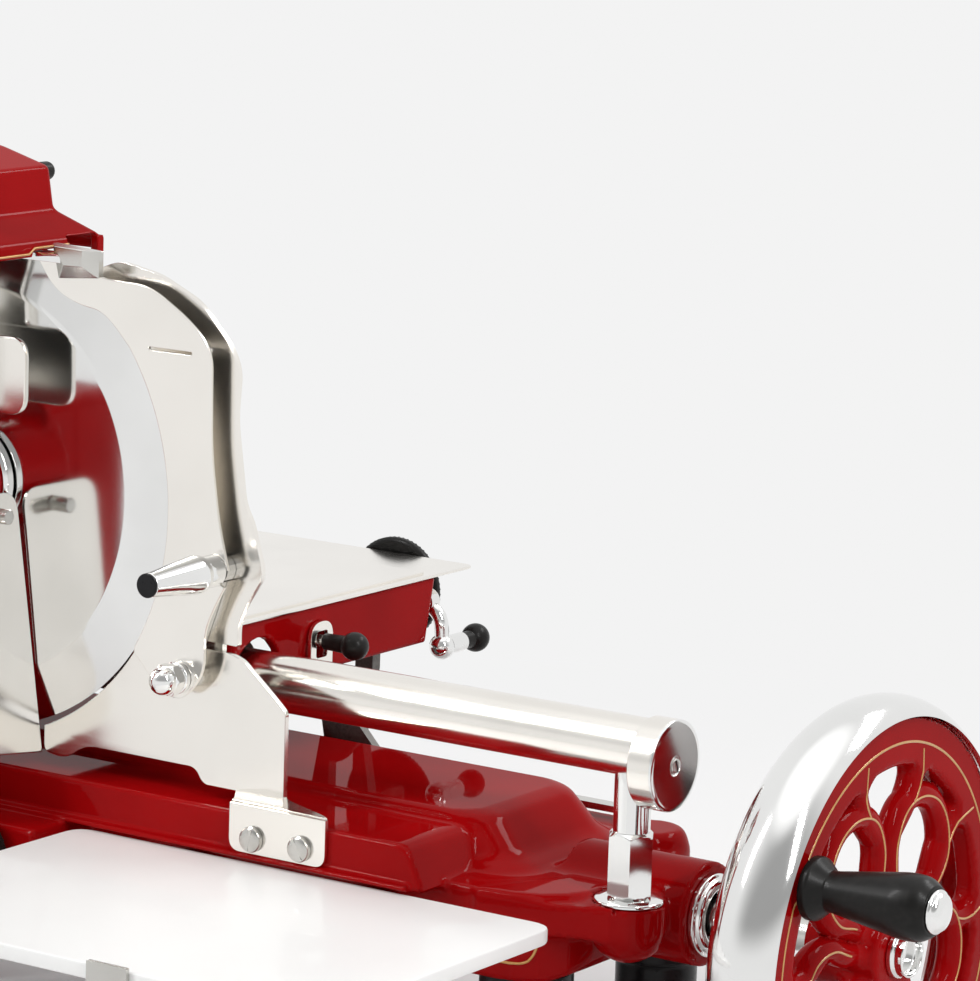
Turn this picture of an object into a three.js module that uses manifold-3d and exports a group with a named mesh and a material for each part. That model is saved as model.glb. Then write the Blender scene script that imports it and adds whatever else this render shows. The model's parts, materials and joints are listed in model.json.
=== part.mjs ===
// Hand crank meat slicer with a flywheel, in millimetres, +Z up.
// Inside the machine group the origin is the middle of the blade's front face.
// X runs along the slide rod towards the flywheel and Y runs away from the operator.
import * as THREE from "three";
import { mergeVertices } from "three/addons/utils/BufferGeometryUtils.js";
import Module from "manifold-3d";

const wasm = await Module();
wasm.setup();

// Driving dimensions
const bladeRadius = 150;
const bladeThickness = 6;
const rodRadius = 17;
const rodSetback = 45;
const rodDrop = 103;
const rodLeft = -165;
const rodRight = 462;
const shaftSetback = 96;
const shaftRadius = 10;
const bladeToDeck = 38;
const deckToShaft = 18;
const deckToStand = 178;
const deckDrop = bladeRadius + bladeToDeck;
const shaftDrop = deckDrop + deckToShaft;
const standDrop = deckDrop + deckToStand;
const wheelFace = 580;
const wheelRadius = 141;
const carriageStroke = 194;
const tableRise = 38;
const tableLeft = -60;
const tableRight = 185;
const tableFront = 12;
const tableBack = 266;

// Clearances and finish of the faceted solids
const fitGap = 0.3;
const runGap = 1;
const boltGap = 0.5;
const overrun = 2;
const weldDistance = 0.001;
const sphereCount = 3;
const roundCount = 16;
const fineCount = 28;
const cornerCount = 3;
const fullTurn = Math.PI * 2;
const quarterTurn = Math.PI / 2;

// Heights and stations that several sub-assemblies share
const rodZ = -rodDrop;
const shaftZ = -shaftDrop;
const deckZ = -deckDrop;
const standZ = -standDrop;
const tableZ = rodZ + tableRise;
const wall = 6;

// Finishes
const finishes = {
  red: ["#8b0f14", 0.18, 0.1],
  chrome: ["#e6e3dc", 0.08, 1],
  nickel: ["#e2ddd2", 0.16, 1],
  steel: ["#b9b6af", 0.3, 1],
  white: ["#f2f0ec", 0.2, 0],
  black: ["#1d1c1b", 0.35, 0],
  rubber: ["#141414", 0.8, 0],
  iron: ["#4c4a48", 0.5, 0.8],
  stone: ["#8c8a86", 0.9, 0],
};

function finish(name) {
  const [color, roughness, metalness] = finishes[name];
  return new THREE.MeshStandardMaterial({ color, roughness, metalness });
}

// Shape helpers

// Makes a closed solid of a closed geometry, with its faces pointing out.
function solidOf(geometry) {
  const bare = geometry.index ? geometry.toNonIndexed() : geometry.clone();
  bare.deleteAttribute("normal");
  bare.deleteAttribute("uv");
  const merged = mergeVertices(bare, weldDistance);
  const spots = merged.attributes.position;
  const corners = [new THREE.Vector3(), new THREE.Vector3(), new THREE.Vector3()];
  const faces = [];
  let volume = 0;
  for (let i = 0; i < merged.index.count; i += 3) {
    const face = [0, 1, 2].map((k) => merged.index.getX(i + k));
    if (new Set(face).size < 3) continue;
    face.forEach((spot, k) => corners[k].fromBufferAttribute(spots, spot));
    volume += corners[0].dot(corners[1].clone().cross(corners[2]));
    faces.push(face);
  }
  const outward = volume < 0 ? faces.map(([a, b, c]) => [a, c, b]) : faces;
  const vertProperties = new Float32Array(spots.array);
  const triVerts = new Uint32Array(outward.flat());
  return new wasm.Manifold(new wasm.Mesh({ numProp: 3, vertProperties, triVerts }));
}

function joined(...solids) {
  return solids.reduce((whole, solid) => whole.add(solid));
}

function without(whole, ...cutters) {
  return cutters.reduce((rest, cutter) => rest.subtract(cutter), whole);
}

// Turns a geometry made about Y so that its Y lies along the named axis.
function aimed(geometry, axis) {
  if (axis === "x") geometry.rotateZ(-quarterTurn);
  if (axis === "z") geometry.rotateX(quarterTurn);
  return geometry;
}

// Spins [radius, place] pairs about an axis through (a, b), the other two coordinates.
function turned(axis, profile, a = 0, b = 0, segmentCount = roundCount) {
  const points = profile.map(([radius, along]) => new THREE.Vector2(radius, along));
  const geometry = aimed(new THREE.LatheGeometry(points, segmentCount), axis);
  const shift = { x: [0, a, b], y: [a, 0, b], z: [a, b, 0] }[axis];
  return solidOf(geometry.translate(...shift));
}

// A round bar along an axis from one place to another.
function bar(axis, radius, from, to, a = 0, b = 0, segmentCount = roundCount) {
  return turned(axis, [[0, from], [radius, from], [radius, to], [0, to]], a, b, segmentCount);
}

// A round ring with a bore, closed on itself.
function ring(axis, inner, outer, from, to, a = 0, b = 0, segmentCount = roundCount) {
  const profile = [[inner, from], [outer, from], [outer, to], [inner, to], [inner, from]];
  return turned(axis, profile, a, b, segmentCount);
}

function block([x0, x1], [y0, y1], [z0, z1]) {
  const box = new THREE.BoxGeometry(x1 - x0, y1 - y0, z1 - z0);
  return solidOf(box.translate((x0 + x1) / 2, (y0 + y1) / 2, (z0 + z1) / 2));
}

// A closed outline of [x, y, cornerRadius] points.
function outline(points) {
  const shape = new THREE.Shape();
  const spots = points.map(([x, y]) => new THREE.Vector2(x, y));
  points.forEach(([, , radius = 0], i) => {
    const here = spots[i];
    const before = spots[(i + spots.length - 1) % spots.length];
    const after = spots[(i + 1) % spots.length];
    const reach = Math.min(radius, here.distanceTo(before) / 2, here.distanceTo(after) / 2);
    const start = here.clone().add(before.clone().sub(here).setLength(reach));
    const end = here.clone().add(after.clone().sub(here).setLength(reach));
    if (i === 0) shape.moveTo(start.x, start.y);
    else shape.lineTo(start.x, start.y);
    if (reach > 0) shape.quadraticCurveTo(here.x, here.y, end.x, end.y);
  });
  shape.closePath();
  return shape;
}

function oblong([x0, x1], [y0, y1], radius) {
  return outline([[x0, y0, radius], [x1, y0, radius], [x1, y1, radius], [x0, y1, radius]]);
}

// Points along an arc about (x, y), angles in degrees.
function arcPoints(x, y, radius, fromAngle, toAngle, stepCount) {
  return Array.from({ length: stepCount + 1 }, (_, i) => {
    const angle = THREE.MathUtils.degToRad(fromAngle + ((toAngle - fromAngle) * i) / stepCount);
    return [x + radius * Math.cos(angle), y + radius * Math.sin(angle)];
  });
}

const spreads = {
  x: new THREE.Matrix4().makeBasis(
    new THREE.Vector3(0, 1, 0), new THREE.Vector3(0, 0, 1), new THREE.Vector3(1, 0, 0)),
  y: new THREE.Matrix4().makeBasis(
    new THREE.Vector3(1, 0, 0), new THREE.Vector3(0, 0, 1), new THREE.Vector3(0, -1, 0)),
  z: new THREE.Matrix4(),
};

// A plate of an outline, spread along an axis. The outline holds the other two
// coordinates in their usual order.
function plate(axis, shape, from, to, bevel = 0) {
  const depth = Math.abs(to - from) - bevel * 2;
  const options = {
    depth, curveSegments: cornerCount, bevelEnabled: bevel > 0, bevelSize: bevel,
    bevelThickness: bevel, bevelOffset: -bevel, bevelSegments: 2,
  };
  const geometry = new THREE.ExtrudeGeometry(shape, options).applyMatrix4(spreads[axis]);
  const shift = {
    x: [Math.min(from, to) + bevel, 0, 0],
    y: [0, Math.max(from, to) - bevel, 0],
    z: [0, 0, Math.min(from, to) + bevel],
  }[axis];
  return solidOf(geometry.translate(...shift));
}

// A solid through rings of points, each with the same count, capped at both ends.
function loft(rings) {
  const count = rings[0].length;
  const spots = rings.flat(2);
  const faces = [];
  for (let level = 0; level < rings.length - 1; level += 1) {
    for (let i = 0; i < count; i += 1) {
      const a = level * count + i;
      const b = level * count + ((i + 1) % count);
      faces.push(a, b, b + count, a, b + count, a + count);
    }
  }
  const top = (rings.length - 1) * count;
  for (let i = 1; i < count - 1; i += 1) {
    faces.push(0, i + 1, i, top, top + i, top + i + 1);
  }
  const geometry = new THREE.BufferGeometry();
  geometry.setAttribute("position", new THREE.BufferAttribute(new Float32Array(spots), 3));
  geometry.setIndex(faces);
  return solidOf(geometry);
}

// A level ring of points for a loft, a rectangle with cut corners.
function levelRing([x0, x1], [y0, y1], z, corner) {
  return [
    [x0 + corner, y0, z], [x1 - corner, y0, z], [x1, y0 + corner, z], [x1, y1 - corner, z],
    [x1 - corner, y1, z], [x0 + corner, y1, z], [x0, y1 - corner, z], [x0, y0 + corner, z],
  ];
}

// A level ring with rounded corners.
function roundedRing([x0, x1], [y0, y1], z, radius) {
  const corners = [
    [x1 - radius, y0 + radius, -90], [x1 - radius, y1 - radius, 0],
    [x0 + radius, y1 - radius, 90], [x0 + radius, y0 + radius, 180],
  ];
  return corners.flatMap(([x, y, angle]) => arcPoints(x, y, radius, angle, angle + 90,
    cornerCount).map(([a, b]) => [a, b, z]));
}

// A tube of round section along a smooth curve through points.
function tube(points, radius, sideCount, stepCount) {
  const path = new THREE.CatmullRomCurve3(points.map((point) => new THREE.Vector3(...point)));
  const section = new THREE.Shape();
  for (let i = 0; i < sideCount; i += 1) {
    const angle = (fullTurn * i) / sideCount;
    const spot = [radius * Math.cos(angle), radius * Math.sin(angle)];
    if (i === 0) section.moveTo(...spot);
    else section.lineTo(...spot);
  }
  section.closePath();
  const options = { extrudePath: path, steps: stepCount, curveSegments: 1 };
  return solidOf(new THREE.ExtrudeGeometry(section, options));
}

// A toothed ring outline about (x, y).
function toothed(x, y, outer, root, toothCount) {
  const toothShares = [0.12, 0.38, 0.62, 0.88];
  const points = [];
  for (let i = 0; i < toothCount; i += 1) {
    toothShares.forEach((share, k) => {
      const radius = k === 1 || k === 2 ? outer : root;
      const angle = (fullTurn * (i + share)) / toothCount;
      points.push([x + radius * Math.cos(angle), y + radius * Math.sin(angle)]);
    });
  }
  return points;
}

function piece(parent, name, solid, finishName) {
  const cut = solid.getMesh();
  const geometry = new THREE.BufferGeometry();
  const spots = Float32Array.from(cut.vertProperties);
  geometry.setAttribute("position", new THREE.BufferAttribute(spots, 3));
  geometry.setIndex(new THREE.BufferAttribute(Uint32Array.from(cut.triVerts), 1));
  geometry.computeVertexNormals();
  const mesh = new THREE.Mesh(geometry, finish(finishName));
  mesh.name = name;
  parent.add(mesh);
  return mesh;
}

function group(parent, x = 0, y = 0, z = 0) {
  const made = new THREE.Group();
  made.position.set(x, y, z);
  parent.add(made);
  return made;
}

const machine = new THREE.Group();
const slicer = group(machine);

// Sizes of the casting that the machine is built on
const base = {
  left: -175, right: 425, front: 5, back: 200, corner: 28,
  endDrop: 52, bellyDrop: 87, bellyLeft: -56, bellyRight: 290, sweep: 48, bend: 12, edge: 3,
};
const platform = { front: -18, right: 334, rise: 22, lip: 4, lipHeight: 4, foot: 4, slope: 12 };
const apron = { left: -110, right: 20, front: -122, shelfRight: 92, shelfFront: -50, drop: 67 };
const dome = {
  left: -98, right: 334, front: 47, back: 152, rise: 28, corner: 22, side: 15, end: 44,
};
const domeLevelShares = [[-0.3, 1], [0.05, 0.85], [0.2, 0.6], [0.65, 0.35], [0.9, 0.2], [1, 0]];
const lobe = { x: 443, radius: 21, drop: 4, height: 34, tip: 15, seat: 20.5 };
const leftLobe = { x: -150 };
const boss = { x: 392, y: 148, radius: 21, rise: 11, slope: 3 };
const housingTube = { radius: 30, left: 396, right: 465, bore: 17 };
const platformZ = deckZ + platform.rise;
const domeZ = deckZ + dome.rise;
const baseEndZ = deckZ - base.endDrop;
const bellyZ = deckZ - base.bellyDrop;
const lobeZ = deckZ - lobe.drop;
const apronZ = deckZ - apron.drop;

// Sizes of the drive inside the base
const crank = {
  x: 247, gearRadius: 36, pinionRadius: 18, faceWidth: 9, toothDepth: 3, toothCount: 24,
  pinionToothCount: 12, stubRadius: 8, armRadius: 30, armWidth: 16, armThickness: 6,
  pinRadius: 4.5, pinLength: 4, armFace: 135, webFace: 122, webThickness: 6, webHalf: 30,
};
const cross = {
  x: -45, radius: 9, gearRadius: 22, faceWidth: 10, toothDepth: 3, toothCount: 14, front: -101,
};
const chain = {
  front: -95, width: 8, thickness: 4, driveRadius: 30, bladeRadius: 12, driveToothCount: 20,
  bladeToothCount: 8, toothDepth: 2.5, slack: 0.6,
};
const rocker = {
  front: 168, thickness: 6, pivotDrop: 49, pivotRadius: 7, hub: 13, width: 18, tipHub: 10,
  slotWidth: 11, pinRadius: 5, pinLength: 9, slotInner: 17, slotOuter: 84,
};
const rockerZ = shaftZ - rocker.pivotDrop;
const crankGearFace = shaftSetback + crank.pinionRadius;

// The parts of the carriage that the base has to leave room for
const rearFoot = { x: 150, front: 176, thickness: 8, topHalf: 22, bottomHalf: 11, rise: 24 };
const rail = { front: 185, width: 10, rise: 8, left: 100, right: 362, foot: 12, riser: 4 };
const roller = { radius: 6, width: 7, pin: 3 };

// Feet and legs
const leg = {
  radius: 24, collar: 27, collarHeight: 12, padRadius: 27, padThickness: 8, offset: 8,
  frontInset: 45, leftInset: 28, front: 40, back: 148,
};
const legSpots = {
  leg_front_left: [base.left + leg.leftInset, leg.front],
  leg_front_right: [base.right - leg.frontInset, leg.front],
  leg_rear_left: [base.left + leg.leftInset, leg.back],
  leg_rear_right: [boss.x + leg.offset, boss.y],
};

// Front guard, gauge plate and bracket, in the plane of the blade
const sheet = { thickness: 4, front: -2, guardGap: 8.5, guardThickness: 2.5, arcGap: 4 };
const guardBack = sheet.front - sheet.guardGap;
const guardFront = guardBack - sheet.guardThickness;
const knobShares = { x: 1.28, z: -0.19333 };
const acornShares = { x: 1.12, z: -0.63333 };
const bracketEdgeShare = 1.58;
const knobSpot = { x: bladeRadius * knobShares.x, z: bladeRadius * knobShares.z };
const acornSpot = { x: bladeRadius * acornShares.x, z: bladeRadius * acornShares.z };
const bracketEdge = bladeRadius * bracketEdgeShare;
const stud = { radius: 4.5, collar: 8, knobLength: 34, acornLength: 10 };
const lug = {
  left: bracketEdge - 24, right: bracketEdge + 44, topRise: 7, bottom: 22, thickness: 3,
  corner: 8, foldLeft: bracketEdge - 34, foldRight: bracketEdge, screwInset: 17, screwDrop: 13,
};
const screw = { radius: 3, head: 7.5, headHeight: 4, length: 12, slotWidth: 2, slotDepth: 1.6 };
const lugTop = platformZ + lug.topRise;
const lugBottom = platformZ - lug.bottom;
const lugBack = platform.front - fitGap;
const lugFront = lugBack - lug.thickness;
const screwSpots = [lug.left + lug.screwInset, lug.right - lug.screwInset];
const screwZ = platformZ - lug.screwDrop;

// The housing that carries the blade from the slice side
const housing = {
  front: -113, columnBack: -70, headBack: -45, right: 20, top: 42, headBottom: -48,
  footLeft: -90, footRight: 10, topLeft: -50, wall: 5, corner: 12, bossRadius: 32,
  bossGap: 9, bore: 13, coverThickness: 3, cavityBack: -76,
};
const housingFootZ = deckZ - platform.foot + fitGap;

// Makes the base casting: hollow body, dome, platform, lobes and shaft tube.
function makeCasting() {
  const bodyPlan = outline([
    [base.left, base.front, base.corner], [base.right, base.front, base.corner * 2],
    [base.right, shaftSetback + housingTube.radius, base.corner],
    [boss.x + boss.radius, boss.y, base.corner],
    [boss.x - boss.radius, base.back, base.corner], [base.left, base.back, base.corner],
  ]);
  const side = outline([
    [base.left, deckZ], [base.right, deckZ], [base.right, baseEndZ, base.corner],
    [base.bellyRight + base.sweep, baseEndZ, base.bend], [base.bellyRight, bellyZ, base.sweep],
    [base.bellyLeft, bellyZ, base.sweep], [base.bellyLeft - base.sweep, baseEndZ, base.bend],
    [base.left, baseEndZ, base.corner],
  ]);
  const body = plate("z", bodyPlan, bellyZ, deckZ, base.edge)
    .intersect(plate("y", side, base.front - overrun, base.back + overrun));
  const domeBody = loft(domeLevelShares.map(([riseShare, growShare]) => {
    const side = dome.side * growShare;
    return roundedRing([dome.left - side, dome.right + dome.end * growShare],
      [dome.front - side, dome.back + side], deckZ + dome.rise * riseShare,
      dome.corner + side / 2);
  }));
  const shelf = plate("y", outline([
    [base.left, deckZ - platform.foot], [platform.right + platform.slope, deckZ - platform.foot],
    [platform.right, platformZ, platform.slope / 2], [base.left, platformZ],
  ]), platform.front, dome.front);
  const lip = block([base.left, platform.right + platform.lip],
    [platform.front - platform.lip, platform.front + platform.lip],
    [deckZ - platform.foot, deckZ - platform.foot + platform.lipHeight]);
  const apronTop = deckZ - platform.foot;
  const apronBlock = block([apron.left, apron.right], [apron.front, base.front + wall],
    [apronZ, apronTop]);
  const apronShelf = block([apron.right - wall, apron.shelfRight],
    [apron.shelfFront, base.front + wall], [apronZ, apronTop]);
  const lobes = [lobe.x, leftLobe.x].map((x) => turned("z", [
    [0, lobeZ - lobe.height], [lobe.radius - lobe.tip, lobeZ - lobe.height],
    [lobe.radius - lobe.tip * 0.3, lobeZ - lobe.height + lobe.tip * 0.35],
    [lobe.radius, lobeZ - lobe.height + lobe.tip], [lobe.radius, lobeZ], [0, lobeZ],
  ], x, rodSetback));
  const neck = plate("z", outline([
    [base.right - base.corner * 2, base.front], [base.right - base.corner / 2,
      base.front + lobe.tip / 3, lobe.radius / 2],
    [lobe.x, rodSetback - lobe.radius], [lobe.x, rodSetback + lobe.tip],
    [base.right - base.corner, rodSetback + lobe.tip],
  ]), lobeZ - lobe.height + lobe.tip, lobeZ);
  const bossBody = turned("z", [
    [0, baseEndZ], [boss.radius + boss.slope, baseEndZ], [boss.radius + boss.slope, deckZ],
    [boss.radius, deckZ + boss.rise - boss.slope],
    [boss.radius - boss.slope, deckZ + boss.rise], [0, deckZ + boss.rise],
  ], boss.x, boss.y);
  const tubeBody = bar("x", housingTube.radius, housingTube.left, housingTube.right,
    shaftSetback, shaftZ, fineCount);
  const outside = joined(body, domeBody, shelf, lip, apronBlock, apronShelf, ...lobes,
    neck, bossBody, tubeBody);
  return joined(without(outside, ...castingHollows()), ...castingWebs());
}

// The hollows of the casting: the body, the dome, the apron and the shaft's way out.
function castingHollows() {
  const inside = outline([
    [base.left + wall, deckZ - wall], [base.right - wall, deckZ - wall],
    [base.right - wall, baseEndZ + wall],
    [base.bellyRight + base.sweep - wall, baseEndZ + wall],
    [base.bellyRight - wall, bellyZ - overrun],
    [base.bellyLeft + wall, bellyZ - overrun],
    [base.bellyLeft - base.sweep + wall, baseEndZ + wall], [base.left + wall, baseEndZ + wall],
  ]);
  const insidePlan = outline([
    [base.left + wall, base.front + wall, base.corner - wall],
    [base.right - wall, base.front + wall, base.corner * 2 - wall],
    [base.right - wall, shaftSetback + housingTube.radius - wall / 2, base.corner - wall],
    [boss.x + boss.radius - wall, boss.y - wall / 2, base.corner - wall],
    [boss.x - boss.radius - wall / 2, base.back - wall, base.corner - wall],
    [base.left + wall, base.back - wall, base.corner - wall],
  ]);
  const bodyHollow = plate("z", insidePlan, bellyZ - overrun, deckZ - wall)
    .intersect(plate("y", inside, base.front + wall, base.back - wall));
  const domeHollow = plate("z", oblong([dome.left + wall, dome.right - wall],
    [dome.front + wall, dome.back - wall], dome.corner - wall), deckZ - wall - overrun,
  domeZ - wall);
  const apronHollow = block([apron.left + wall, apron.right - wall],
    [apron.front + wall, base.front - wall], [apronZ - overrun, deckZ - platform.foot - wall]);
  const chainWay = block(
    [cross.x - chain.driveRadius - chain.thickness - runGap * 3,
      cross.x + chain.driveRadius + chain.thickness + runGap * 3],
    [housing.front + housing.wall, housing.cavityBack],
    [deckZ - platform.foot - wall - overrun, deckZ + overrun]);
  const crossBore = bar("y", cross.radius + runGap, apron.front + wall + overrun,
    base.front + wall + overrun, cross.x, shaftZ);
  const shaftBore = bar("x", housingTube.bore, base.right - wall * 2 - overrun,
    housingTube.right + overrun, shaftSetback, shaftZ);
  const rockerWay = block([crank.x - carriageStroke / 2 + rocker.width,
    crank.x + carriageStroke / 2 - rocker.width],
  [rocker.front - runGap * 2, rocker.front + rocker.thickness + runGap * 2],
  [deckZ - wall - overrun, domeZ]);
  const screwHoles = screwSpots.map((x) => bar("y", screw.radius + fitGap,
    platform.front - platform.lip - overrun, platform.front + screw.length, x, screwZ));
  const seats = [lobe.x, leftLobe.x].map((x) => bar("z", lobe.seat, lobeZ, platformZ + overrun,
    x, rodSetback));
  return [bodyHollow, domeHollow, apronHollow, chainWay, crossBore, shaftBore, rockerWay,
    ...seats, ...screwHoles];
}

// Webs inside the casting that carry the shaft, the crank stub and the rocker's pivot.
function castingWebs() {
  const leftWebX = cross.x + cross.gearRadius * 3;
  const leftWeb = without(
    block([leftWebX, leftWebX + wall], [base.front + wall - overrun, base.back - wall + overrun],
      [shaftZ - shaftRadius * 2, deckZ - wall + overrun]),
    bar("x", shaftRadius + runGap, leftWebX - overrun, leftWebX + wall + overrun,
      shaftSetback, shaftZ));
  const webTop = domeZ - wall + overrun;
  const crankWeb = without(
    block([crank.x - crank.webHalf, crank.x + crank.webHalf],
      [crank.webFace, crank.webFace + crank.webThickness], [shaftZ - shaftRadius * 2, webTop]),
    bar("y", crank.stubRadius + boltGap, crank.webFace - overrun,
      crank.webFace + crank.webThickness + overrun, crank.x, shaftZ));
  const pivot = bar("y", rocker.pivotRadius, rocker.front - runGap,
    base.back - wall + overrun, crank.x, rockerZ);
  return [leftWeb, crankWeb, pivot];
}

function makeBase(parent) {
  piece(parent, "base_casting", makeCasting(), "red");
  const cover = { thickness: 3, sideInset: 14, inset: base.edge };
  const coverPlan = oblong([base.bellyLeft + cover.sideInset, base.bellyRight - cover.sideInset],
    [base.front + cover.inset, base.back - cover.inset], base.corner);
  const coverTop = bellyZ - fitGap;
  piece(parent, "bottom_cover", plate("z", coverPlan, coverTop - cover.thickness, coverTop),
    "black");
  const legTop = baseEndZ - fitGap;
  const padTop = standZ + leg.padThickness;
  for (const [name, [x, y]] of Object.entries(legSpots)) {
    piece(parent, name, turned("z", [
      [0, legTop], [leg.collar, legTop], [leg.collar, legTop - leg.collarHeight],
      [leg.radius, legTop - leg.collarHeight], [leg.radius, padTop], [leg.padRadius, padTop],
      [leg.padRadius, standZ], [0, standZ],
    ], x, y), "black");
  }
  const ringSize = { inner: 13, outer: 24, length: 7 };
  piece(parent, "bearing_ring", ring("x", ringSize.inner, ringSize.outer,
    housingTube.right + fitGap, housingTube.right + fitGap + ringSize.length, shaftSetback,
    shaftZ), "chrome");
  const bush = { length: 44, inset: 2 };
  const bushEnd = housingTube.right - bush.inset;
  piece(parent, "shaft_bush", ring("x", shaftRadius + fitGap, housingTube.bore - fitGap,
    bushEnd - bush.length, bushEnd, shaftSetback, shaftZ), "steel");
}

// The front slide rod with its end caps and posts, and the rail behind it.
function makeRods(parent) {
  const end = { radius: 26, length: 16, drop: 7, depth: 8, screw: 4, rise: 1.5 };
  const post = { radius: 10.5, hexRadius: 14, hexTop: 54, washer: 20, washerThickness: 3 };
  const rodEnd = rodRight;
  piece(parent, "front_rod", bar("x", rodRadius, rodLeft, rodEnd, rodSetback, rodZ, fineCount),
    "chrome");
  const caps = [[rodEnd - end.depth, 1], [rodLeft + end.depth, -1]].map(([start, way]) => {
    const face = start + way * end.length;
    const body = bar("x", end.radius, start, face, rodSetback, rodZ - end.drop, fineCount);
    const head = bar("x", end.screw, face - way, face + way * end.rise, rodSetback,
      rodZ - end.drop);
    const pocket = bar("x", rodRadius + fitGap, start - way * overrun,
      start + way * (end.depth + fitGap), rodSetback, rodZ, fineCount);
    return without(joined(body, head), pocket);
  });
  piece(parent, "rod_cap_right", caps[0], "chrome");
  piece(parent, "rod_cap_left", caps[1], "chrome");
  const washerTop = lobeZ + fitGap + post.washerThickness;
  const around = bar("x", rodRadius + fitGap, rodLeft - overrun, rodRight + overrun,
    rodSetback, rodZ, fineCount);
  const ends = { rod_post_right: [lobe.x, caps[0], -1], rod_post_left: [leftLobe.x, caps[1], 1] };
  for (const [name, [x, cap, way]] of Object.entries(ends)) {
    const stem = bar("z", post.radius, washerTop, rodZ - rodRadius / 2, x, rodSetback);
    const hex = bar("z", post.hexRadius, washerTop, rodZ - post.hexTop, x, rodSetback, 6);
    const washer = bar("z", post.washer, lobeZ + fitGap, washerTop, x, rodSetback);
    const room = cap.translate([way * fitGap, 0, 0]);
    piece(parent, name, without(joined(stem, hex, washer), around, room, cap), "chrome");
  }
  const railTop = deckZ + rail.rise;
  const top = block([rail.left, rail.right], [rail.front, rail.front + rail.width],
    [railTop - rail.riser, railTop]);
  const feet = [rail.left, rail.right - rail.foot].map((x) => block([x, x + rail.foot],
    [rail.front, rail.front + rail.width], [deckZ + fitGap, railTop - rail.riser / 2]));
  piece(parent, "rear_rail", joined(top, ...feet), "steel");
}

// The plates that stand round the blade, with what holds them.
const guardShares = [
  [0.773, 0.7, 0.03], [0.707, 0.747, 0.04], [0.6, 0.76, 0.05], [0.513, 0.793, 0.04],
  [0.453, 0.84, 0.04], [0.387, 0.933, 0], [0.53, 0.94, 0], [0.72, 0.873, 0.03],
  [0.94, 0.867, 0.08], [1.14, 0.753, 0.08], [1.247, 0.653, 0.08], [1.253, 0.267, 0.1],
  [1.293, 0, 0.1], [1.34, -0.167, 0.03], [1.347, -0.233, 0.03], [1.28, -0.347, 0.06],
  [1.24, -0.44, 0.06], [1.243, -0.62, 0.09], [1.12, -0.735, 0.09], [1.013, -0.68, 0.05],
  [0.9, -0.567, 0.02],
];
const gaugeShares = [
  [0.56, 0.867, 0.02], [0.653, 0.903, 0.03], [0.74, 0.937, 0.05], [0.933, 0.903, 0.05],
  [1.133, 0.817, 0.06], [1.287, 0.657, 0.05], [1.327, 0.57, 0.05], [1.313, 0.383, 0.06],
  [1.36, 0.063, 0.05], [1.4, -0.005, 0.03], [1.453, -0.17, 0.04], [1.453, -0.217, 0.04],
  [1.38, -0.33, 0.04], [1.347, -0.403, 0.04], [1.347, -0.493, 0.01],
];
const bracketShares = [
  [bracketEdgeShare, -0.717, 0.02], [1.527, -0.67, 0.02], [1.373, -0.544, 0.02], [1.313, -0.524, 0.03],
];

function scaled(shares, size = bladeRadius) {
  return shares.map((row) => row.map((share) => share * size));
}

function makeBracket(parent) {
  const foot = { left: 60, valley: 5, rise: 16, shelf: 15, step: 8 };
  const arcRadius = bladeRadius + sheet.arcGap;
  const arc = arcPoints(0, 0, arcRadius, -30, -67, 8);
  const foldZ = lugTop + lug.thickness / 2;
  const shape = outline([
    ...scaled(bracketShares), ...arc, [foot.left, foldZ, foot.valley],
    [foot.left + foot.rise, foldZ - foot.valley / 2, foot.rise / 2],
    [foot.left + foot.rise * 2, foldZ + foot.step, foot.rise / 2],
    [lug.foldLeft - lug.thickness * 10, foldZ + foot.step, foot.valley],
    [lug.foldLeft - lug.thickness * 8, foldZ - lug.thickness / 2, foot.valley],
    [lug.foldRight, foldZ - lug.thickness / 2, 0],
  ]);
  const back = sheet.front + sheet.thickness;
  const stand = plate("y", shape, sheet.front, back);
  const fold = loft([
    [[lug.foldLeft, back, lugTop - lug.thickness / 2],
      [lug.foldRight, back, lugTop - lug.thickness / 2],
      [lug.foldRight, back, lugTop + lug.thickness],
      [lug.foldLeft, back, lugTop + lug.thickness]],
    [[lug.left, lugFront, lugTop - lug.thickness], [lug.right, lugFront, lugTop - lug.thickness],
      [lug.right, lugFront, lugTop], [lug.left, lugFront, lugTop]],
  ]);
  const tongue = plate("y", outline([
    [lug.left, lugTop], [lug.left, lugBottom, lug.corner], [lug.right, lugBottom, lug.corner],
    [lug.right, lugTop],
  ]), lugFront, lugBack);
  const holes = screwSpots.map((x) => bar("y", screw.radius + fitGap, lugFront - overrun,
    lugBack + overrun, x, screwZ));
  const studHole = bar("y", stud.radius + fitGap, sheet.front - overrun, back + overrun,
    acornSpot.x, acornSpot.z);
  piece(parent, "bracket_plate", without(joined(stand, fold, tongue), ...holes, studHole),
    "nickel");
  screwSpots.forEach((x, i) => {
    const headFront = lugFront - fitGap - screw.headHeight;
    const head = turned("y", [
      [0, headFront], [screw.head * 0.7, headFront + screw.headHeight * 0.25],
      [screw.head, lugFront - fitGap], [screw.radius, lugFront - fitGap],
      [screw.radius, platform.front + screw.length - runGap],
      [0, platform.front + screw.length - runGap],
    ], x, screwZ);
    const groove = block([x - screw.slotWidth / 2, x + screw.slotWidth / 2],
      [headFront - overrun, headFront + screw.slotDepth],
      [screwZ - screw.head * 2, screwZ + screw.head * 2]);
    piece(parent, `bracket_screw_${i + 1}`, without(head, groove), "steel");
  });
}

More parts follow.
